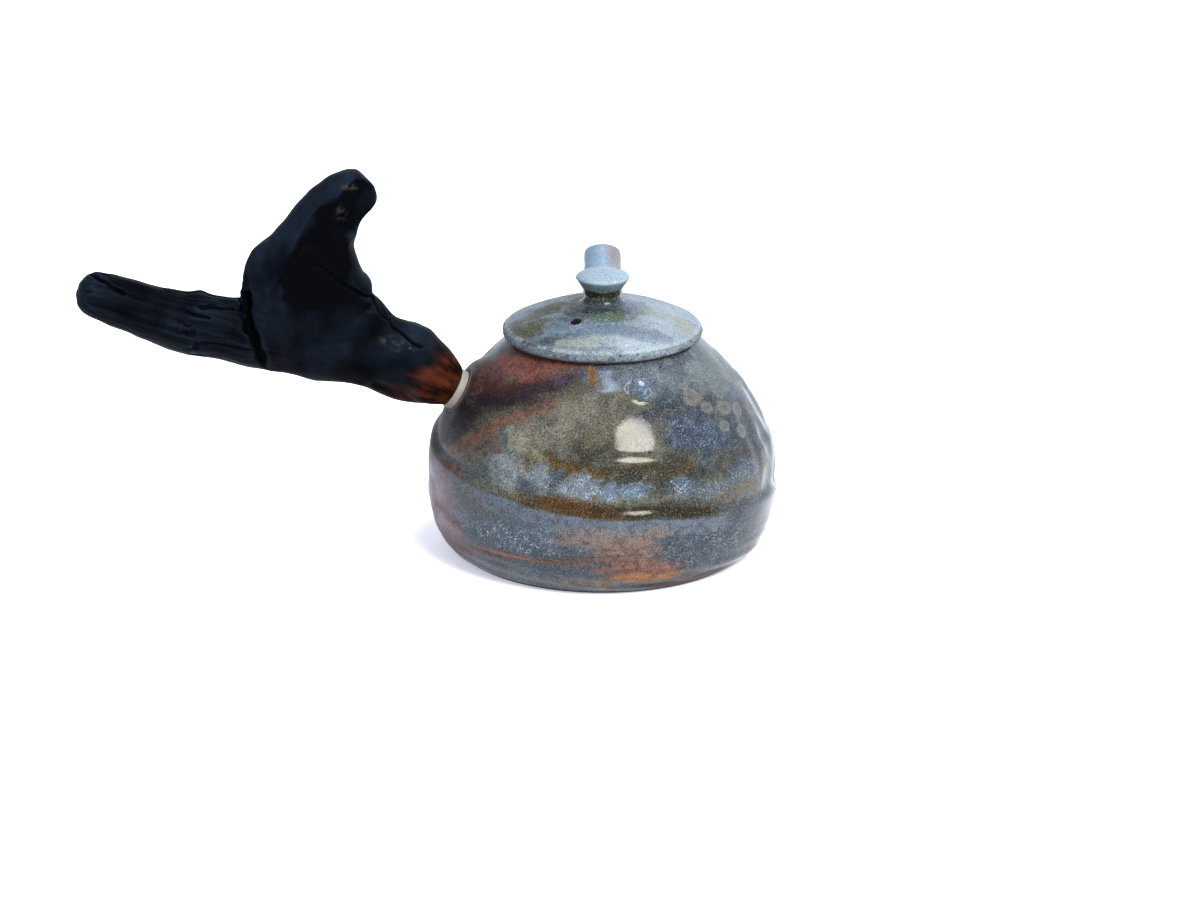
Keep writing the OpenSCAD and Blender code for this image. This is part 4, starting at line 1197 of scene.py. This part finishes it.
PRONG_STATIONS = np.array([
    [0.014, 0.20, 0.74, 0.80, -0.05], [0.014, 0.31, 0.93, 0.96, -0.10], [0.008, 0.46, 1.00, 1.02, -0.13],
    [0.008, 0.57, 0.93, 1.02, -0.15], [-0.028, 0.66, 0.70, 0.98, -0.17], [-0.070, 0.78, 0.51, 0.90, -0.17],
    [-0.131, 0.865, 0.44, 0.82, -0.17], [-0.194, 0.925, 0.40, 0.74, -0.18],
    [-0.231, 0.965, 0.32, 0.62, -0.20], [-0.259, 0.99, 0.18, 0.36, -0.21],
])
limb_mm = LIMB_STATIONS * (TAIL_REACH, TAIL_RISE, LIMB_HALF_H, BRANCH_HALF_T, BRANCH_HALF_T)
limb_mm += (wood_out, wood_up, 0, 0, 0)
prong_mm = PRONG_STATIONS * (PRONG_RISE, PRONG_RISE, PRONG_HALF_W, BRANCH_HALF_T, BRANCH_HALF_T)
prong_mm += (wood_out + PRONG_ROOT, wood_up, 0, 0, 0)
print("stations:", len(limb_mm), "on the limb and", len(prong_mm), "on the prong")


# %% Skins along the curves
def through(stations, count):
    """Smooth curve through all stations, each stretch a cubic that keeps its neighbours' slopes."""
    place = np.linspace(0, len(stations) - 1, count)
    i = np.minimum(place.astype(int), len(stations) - 2)
    t = (place - i)[:, None]
    a, b, c, d = (stations[np.clip(i + k, 0, len(stations) - 1)] for k in (-1, 0, 1, 2))
    return b + 0.5 * t * (c - a + t * (2 * a - 5 * b + 4 * c - d + t * (3 * (b - c) + d - a)))


def from_branch(out, sideways, up):
    """World points from places out along the handle, sideways from it and up."""
    return turned_about_z(np.stack([-out, sideways, up], -1), HANDLE_YAW)


SMOOTH_OVER = 21


def limb_skin(stations, first_way, around=96, rows=150):
    """Ovals square to the curve: half height up, half thickness sideways, with lumps that wind round it. The
    curve's way is averaged over SMOOTH_OVER rows, so that the ovals don't cross at a bend."""
    curve = through(stations, rows)
    way = np.gradient(curve[:, :2], axis=0)
    even = np.ones(SMOOTH_OVER) / SMOOTH_OVER
    way = np.pad(way, ((SMOOTH_OVER // 2,) * 2, (0, 0)), "edge")
    way = np.stack([np.convolve(way[:, k], even, "valid") for k in (0, 1)], -1)
    way[0] = first_way
    way /= np.linalg.norm(way, axis=1, keepdims=True)
    a = np.linspace(0, 2 * np.pi, around, endpoint=False)[None, :]
    share = np.linspace(0, 1, rows)[:, None]
    lumps = 0.025 * np.sin(3 * a + 8 * share) + 0.02 * np.cos(5 * a - 11 * share)
    lumps *= np.minimum(1, share * 6)
    out, up, half_h, half_t, sideways = (curve[:, k, None] for k in range(5))
    rise = -half_h * np.sin(a) * (1 + lumps)
    across = sideways + half_t * np.cos(a) * (1 + lumps)
    return from_branch(out - way[:, 1:] * rise, across, up + way[:, :1] * rise)


# %% Fused branch
VOXEL = 0.45
limb_points, limb_faces = skin(limb_skin(limb_mm, (np.cos(HANDLE_PITCH), np.sin(HANDLE_PITCH))))
prong_points, prong_faces = skin(limb_skin(prong_mm, (0, 1)))
both_faces = limb_faces + [[i + len(limb_points) for i in face] for face in prong_faces]
branch = make_piece("forked_branch", np.concatenate([limb_points, prong_points]), both_faces)
fuse = branch.modifiers.new("fuse", "REMESH")
fuse.mode = "VOXEL"
fuse.voxel_size = VOXEL * MM
apply_modifiers(branch)
print("fused branch:", len(branch.data.vertices), "points")

# %% [markdown]
# ## Carving the wood
# Heat and the knife left the branch with flat planes, a deep crevice where the tail leaves the trunk, long
# drying cracks and, on the tail, a fine twisted grain. Places on the front are given in pixels of the
# photograph, because there the branch is read straight off the picture.

# %% Facets, cracks and bumps
# Facet planes: a point on the plane and its normal, each as out, sideways, up; then reach, strength, and
# whether it was cut across the grain
FACETS = [
    ((92, -11.0, 92), (-0.15, -0.985, 0.05), 34, 0.75, False),  # broad front of trunk and prong
    ((101, -11.3, 101), (0.62, -0.70, 0.35), 30, 0.8, False),  # upper left side of the prong
    ((79, -7.2, 119.5), (-0.55, -0.80, -0.20), 13, 0.95, True),  # cut face of the head
    ((92, 8.5, 95), (0.1, 0.99, 0.1), 34, 0.7, False),  # back of the prong
    ((135, -3.5, 88), (-0.2, -0.62, 0.75), 30, 0.6, False),  # top of the tail
    ((125, -5.5, 72), (0.15, -0.8, -0.58), 30, 0.5, False),  # lower front of the tail
]
# Cracks on the front: width and depth in mm, and their course in photo pixels
CRACKS = [
    (1.3, 2.6, [(243, 296), (245, 315), (250, 332), (256, 348), (264, 366)]),
    (0.45, 0.9, [(313, 264), (330, 273), (346, 283), (362, 293), (372, 297), (380, 312), (392, 325),
                 (408, 338), (421, 347)]),
    (0.6, 1.0, [(87, 272), (97, 277), (106, 282), (116, 288), (122, 291)]),
    (0.55, 0.9, [(202, 306), (212, 304), (224, 306), (232, 308)]),
    (0.5, 0.8, [(186, 311), (196, 313), (208, 318)]),
    (0.4, 0.5, [(294, 254), (302, 246), (314, 241)]),
    (0.9, 1.0, [(376, 384), (388, 388), (400, 393), (413, 398)]),
]
# Bumps on the outline: photo pixel, half size in mm, height
BUMPS = [
    ((354, 236), 3.5, 0.9), ((352, 246), 2.5, -0.6), ((362, 256), 4.0, 0.8), ((368, 273), 4.5, 2.1),
    ((312, 378), 4.0, 0.3), ((201, 291), 2.5, 0.9), ((143, 283), 3.5, 0.2), ((338, 169), 6.0, -0.6),
    ((390, 309), 5.5, -0.4), ((425, 332), 7.0, 0.9), ((135, 276), 12.0, -1.1), ((182, 284), 9.0, -0.9),
    ((215, 290), 9.0, -1.0), ((239, 284), 6.0, -1.1), ((296, 376), 9.0, -0.5), ((350, 388), 9.0, -1.1),
    ((408, 401), 9.0, 0.6), ((375, 200), 4.5, 1.1),
]
# Where the prong leaves the limb, the creases are smoothed: photo pixel and half size in mm
CREASES = [((361, 277), 7), ((350, 384), 5)]
print("to carve:", len(FACETS), "facets,", len(CRACKS), "cracks and", len(BUMPS), "bumps")


# %% Helpers for carving
def course_distance(pixels, course):
    """Least distance in mm from photo pixels to a line through the points of a course."""
    best = np.full(len(pixels), np.inf)
    for start, end in zip(np.array(course[:-1], float), np.array(course[1:], float)):
        t = np.clip((pixels - start) @ (end - start) / ((end - start) @ (end - start)), 0, 1)
        best = np.minimum(best, np.linalg.norm(pixels - start - t[:, None] * (end - start), axis=1))
    return best * PIXEL_MM


def branch_places(points):
    """Out along the handle, sideways and up: the inverse of from_branch."""
    return turned_about_z(points, -HANDLE_YAW) * (-1, 1, 1)


def normals_of(piece):
    """The normals at all points of a piece's mesh."""
    flat = np.empty(len(piece.data.vertices) * 3, np.float32)
    piece.data.vertex_normals.foreach_get("vector", flat)
    return flat.reshape(-1, 3).astype(float)


def relax(points, edges, rounds):
    """Rounds off a mesh: each round moves every point half way to the mean of its neighbours."""
    count = np.bincount(edges.ravel(), minlength=len(points))[:, None]
    for _ in range(rounds):
        total = np.stack([np.bincount(edges.ravel(), points[edges[:, ::-1].ravel(), k], len(points))
                          for k in range(3)], -1)
        points = (points + total / count) / 2
    return points


def set_points(piece, points):
    """Writes points, in millimetres, back into a piece's mesh."""
    piece.data.vertices.foreach_set("co", (points * MM).astype(np.float32).ravel())
    piece.data.update()


def straightened(places):
    """Places in a branch laid out straight: along the nearer of its two curves, sideways and up from it.
    Noise that is drawn out along the first of these follows the grain."""
    curves = [through(limb_mm, 90), through(prong_mm, 60)]
    steps = [np.linalg.norm(np.diff(c[:, :2], axis=0), axis=1) for c in curves]
    lengths = [np.concatenate([[0], np.cumsum(step)]) for step in steps]
    ways = [np.gradient(c[:, :2], axis=0) for c in curves]
    curve, length, way = np.concatenate(curves), np.concatenate(lengths), np.concatenate(ways)
    way = way / np.linalg.norm(way, axis=1, keepdims=True)
    flat = places[:, [0, 2]]
    square = (flat ** 2).sum(1)[:, None] - 2 * flat @ curve[:, :2].T + (curve[:, :2] ** 2).sum(1)
    near = square.argmin(1)
    off = flat - curve[near, :2]
    up = off[:, 1] * way[near, 0] - off[:, 0] * way[near, 1]
    return np.stack([length[near], places[:, 1] - curve[near, 4], up], -1)


# %% Smoothing and facets
# Rounds of smoothing: after the fusing, in the creases, and after the facets
FUSE_ROUNDS, CREASE_ROUNDS, FACET_ROUNDS = 14, 60, 3
edges = np.empty(len(branch.data.edges) * 2, np.int32)
branch.data.edges.foreach_get("vertices", edges)
edges = edges.reshape(-1, 2)

soft = relax(points_of(branch), edges, FUSE_ROUNDS)
softer = relax(soft, edges, CREASE_ROUNDS)
for pixel, half in CREASES:
    away = np.linalg.norm(photo_pixels(soft) - pixel, axis=1) * PIXEL_MM / half
    soft = lay_on(soft, fade(1.5, 0.5, away), softer)
places = branch_places(soft)
cut_face = np.zeros(len(places))
for middle, normal, reach, strength, across_grain in FACETS:
    normal = np.array(normal) / np.linalg.norm(normal)
    away = places - middle
    near = fade(reach, reach * 0.7, np.linalg.norm(away, axis=1))
    proud = np.maximum(0, away @ normal) * near
    places = places - strength * proud[:, None] * normal
    if across_grain:
        cut_face = fade(0.5, 0.1, np.abs((places - middle) @ normal)) * near
set_points(branch, relax(from_branch(*places.T), edges, FACET_ROUNDS))
print("points on the cut face:", int((cut_face > 0.5).sum()))

# %% Relief of the wood
# Rounds of smoothing that show which edges stand proud
EDGE_ROUNDS = 16
points, normals = points_of(branch), normals_of(branch)
pixels = photo_pixels(points)
places = branch_places(points)
grain = straightened(places)
front = fade(-0.05, 0.2, normals @ to_camera)
tail = fade(108, 114, places[:, 0]) * fade(98, 92, places[:, 2] - 0.25 * (places[:, 0] - 112))
neck = fade(8, 2, places[:, 0] - wood_out)
relief = noise_sum(points, (0.6, 10, 71), (0.32, 4.5, 72))
relief += (0.05 + 0.2 * tail) * soft_noise(grain, (22, 1.3, 1.3), 73)
relief += 0.3 * tail * soft_noise(grain, (30, 4, 4), 74)
split = np.abs(soft_noise(grain, (26, 5, 5), 75))
relief -= (0.15 + 0.45 * tail) * fade(0.07, 0.0, split) * fade(0.0, 0.5, soft_noise(points, 14, 76))
for pixel, half, height in BUMPS:
    off = np.linalg.norm(pixels - pixel, axis=1) * PIXEL_MM
    relief += height * np.exp(-(off / half) ** 2)
relief *= 1 - neck
crack = np.zeros(len(points))
wander = pixels + 2.5 * np.stack([soft_noise(points, 3.5, 77), soft_noise(points, 3.5, 78)], -1)
for width, depth, course in CRACKS:
    crack = np.maximum(crack, depth * front * np.exp(-(course_distance(wander, course) / width) ** 2))
carved = points + (relief - crack)[:, None] * normals
worn_edge = ((carved - relax(carved, edges, EDGE_ROUNDS)) * normals).sum(1)
set_points(branch, carved)
print("deepest crack:", round(float(crack.max()), 2), "mm")

# %% [markdown]
# ## Charred and unburnt wood
# Fire blackened all of the branch but the neck beside the ring, where the red-brown heartwood shows through
# in flames that follow the grain. Charred wood, brushed and oiled, is blue-black: dull in its pores,
# blue-grey on what stands proud, and rubbed to grey-brown where the hand holds it. Light and shade are
# painted in as
# well: a painted sheen on the faces that look up and to the left, and painted shade on dull, dark places of
# the front.

# %% Masks of the branch
# Rubbed places on the front: photo pixel, half width and half height in pixels, strength
RUBBED = [
    ((350, 187), 9, 3, 0.5), ((340, 213), 6, 7, 0.4), ((388, 340), 8, 5, 0.5), ((405, 347), 12, 6, 0.6),
]
# Painted shade: dull, dark places on the front where the trunk, the right of the prong and the crevice lie in
# shade, in the same way
SHADED_PLACES = [((305, 272), 42, 24, 0.75), ((332, 236), 16, 34, 0.75), ((243, 318), 12, 18, 0.4)]
# Painted sheen: the faces that look up and to the left, where the light falls, are painted lighter
SHEEN_FACING_WAY = np.array([-0.62, -0.35, 0.70])


def from_pixel(pixel, half_w, half_h):
    """Distance of the branch's points from a photo pixel, counted so that the edge of an oval is at 1."""
    return np.hypot((pixels[:, 0] - pixel[0]) / half_w, (pixels[:, 1] - pixel[1]) / half_h)


out, _, up = places.T
flame = noise_sum(grain, (3.2, (12, 2.4, 2.4), 81), (1.8, (7, 1.2, 1.2), 82))
burnt_from = wood_out + 2 + 18 * fade(70, 58, up)
char = fade(-10, 7, out - burnt_from + 1.3 * flame)
rub = np.zeros(len(points))
for pixel, half_w, half_h, strength in RUBBED:
    rub = np.maximum(rub, strength * front * fade(1.5, 0.2, from_pixel(pixel, half_w, half_h)))
rub *= fade(-0.2, 0.5, soft_noise(points, 1.1, 83) + 0.8 * soft_noise(grain, (5, 0.7, 0.7), 84))
painted_sheen = fade(0.1, 0.95, normals @ SHEEN_FACING_WAY)
# The proud share lightens the wood: relief, worn edges and the painted sheen raise it; cracks, the cut face
# and the painted shade below lower it
proud = 0.15 + 0.45 * relief - 1.2 * crack + 2 * worn_edge + 0.9 * painted_sheen - 0.3 * cut_face
# painted shade: these places are painted dull and dark
for pixel, half_w, half_h, strength in SHADED_PLACES:
    away = from_pixel(pixel, half_w, half_h) + 0.3 * soft_noise(points, 3, 85)
    proud -= strength * front * fade(1.8, 0.2, away)
for key, values in (("grain", grain), ("char", char), ("rub", rub), ("proud", np.clip(proud, 0, 1)),
                    ("grainy", 0.15 + 0.85 * tail)):
    store(branch, key, values)
print("share of the branch that is charred:", round(float(char.mean()), 2))


# %% Charred wood
# Sizes in mm across the grain: fibres, streaks in the heartwood, blotches of soot
FIBRE_MM, STREAK_MM, BLOTCH_MM = 0.9, 2.6, 4
# Along the branch its fibres change at this share of their pace across
FIBRE_DRAW = 0.07


def charred_wood():
    """Charred, oiled wood: blue-black with grey-blue ridges and a painted sheen, dull in painted shade,
    red-brown where it is unburnt.
    """
    material, tree = new_material("charred_oiled_wood")
    grain, char, rub, proud, grainy = (
        add_node(tree, "Attribute", attribute_name=key)
        for key in ("grain", "char", "rub", "proud", "grainy"))
    drawn = add_node(tree, "Mapping", {"Vector": grain.outputs["Vector"], "Scale": (FIBRE_DRAW, 1, 1)})
    fibre = add_node(tree, "TexNoise", {
        "Vector": drawn, "Scale": 1 / FIBRE_MM, "Detail": 3.0, "Roughness": 0.6})
    streak = add_node(tree, "TexNoise", {"Vector": drawn, "Scale": 1 / STREAK_MM, "Detail": 2.0})
    red = add_node(tree, "MapRange", {"Value": streak, "From Min": 0.4, "From Max": 0.68})
    heart = add_node(tree, "Mix", {
        0: red, MIX_A: srgb("#1a0f0c"), MIX_B: srgb("#4d281b")}, data_type="RGBA")
    soot = add_node(tree, "MapRange", {
        "Value": fibre, "From Min": 0.36, "From Max": 0.74, "To Min": 0.2, "To Max": 0.75})
    blotch = add_node(tree, "TexNoise", {
        "Vector": grain.outputs["Vector"], "Scale": 1 / BLOTCH_MM, "Detail": 5.0, "Roughness": 0.7})
    plain = add_node(tree, "MapRange", {
        "Value": blotch, "From Min": 0.3, "From Max": 0.72, "To Min": 0.32, "To Max": 0.7})
    lift = add_node(tree, "MapRange", {"Value": grainy.outputs["Fac"], "To Min": plain, "To Max": soot})
    # the proud share brings in the painted sheen and the painted shade along with the relief
    ridge = add_node(tree, "Math", {0: lift, 1: proud.outputs["Fac"]}, operation="MULTIPLY")
    coal = add_node(tree, "Mix", {
        0: ridge, MIX_A: srgb("#020306"), MIX_B: srgb("#26303e")}, data_type="RGBA")
    burnt = add_node(tree, "Mix", {0: char.outputs["Fac"], MIX_A: heart, MIX_B: coal}, data_type="RGBA")
    worn = add_node(tree, "Math", {0: rub.outputs["Fac"], 1: fibre}, operation="MULTIPLY")
    colour = add_node(tree, "Mix", {0: worn, MIX_A: burnt, MIX_B: srgb("#5d5a54")}, data_type="RGBA")
    rough = add_node(tree, "MapRange", {"Value": fibre, "To Min": 0.42, "To Max": 0.68})
    raised = add_node(tree, "MapRange", {"Value": grainy.outputs["Fac"], "To Min": blotch, "To Max": fibre})
    bumps = add_node(tree, "Bump", {"Height": raised, "Strength": 0.5, "Distance": 0.18 * MM})
    shader = add_node(tree, "BsdfPrincipled", {
        "Base Color": colour, "Roughness": rough, "IOR": 1.45,
        "Specular IOR Level": 0.06, "Specular Tint": srgb("#d2dcec"), "Normal": bumps})
    add_node(tree, "OutputMaterial", {"Surface": shader})
    return material


stand_for(branch, "branch_handle", "pot", charred_wood())
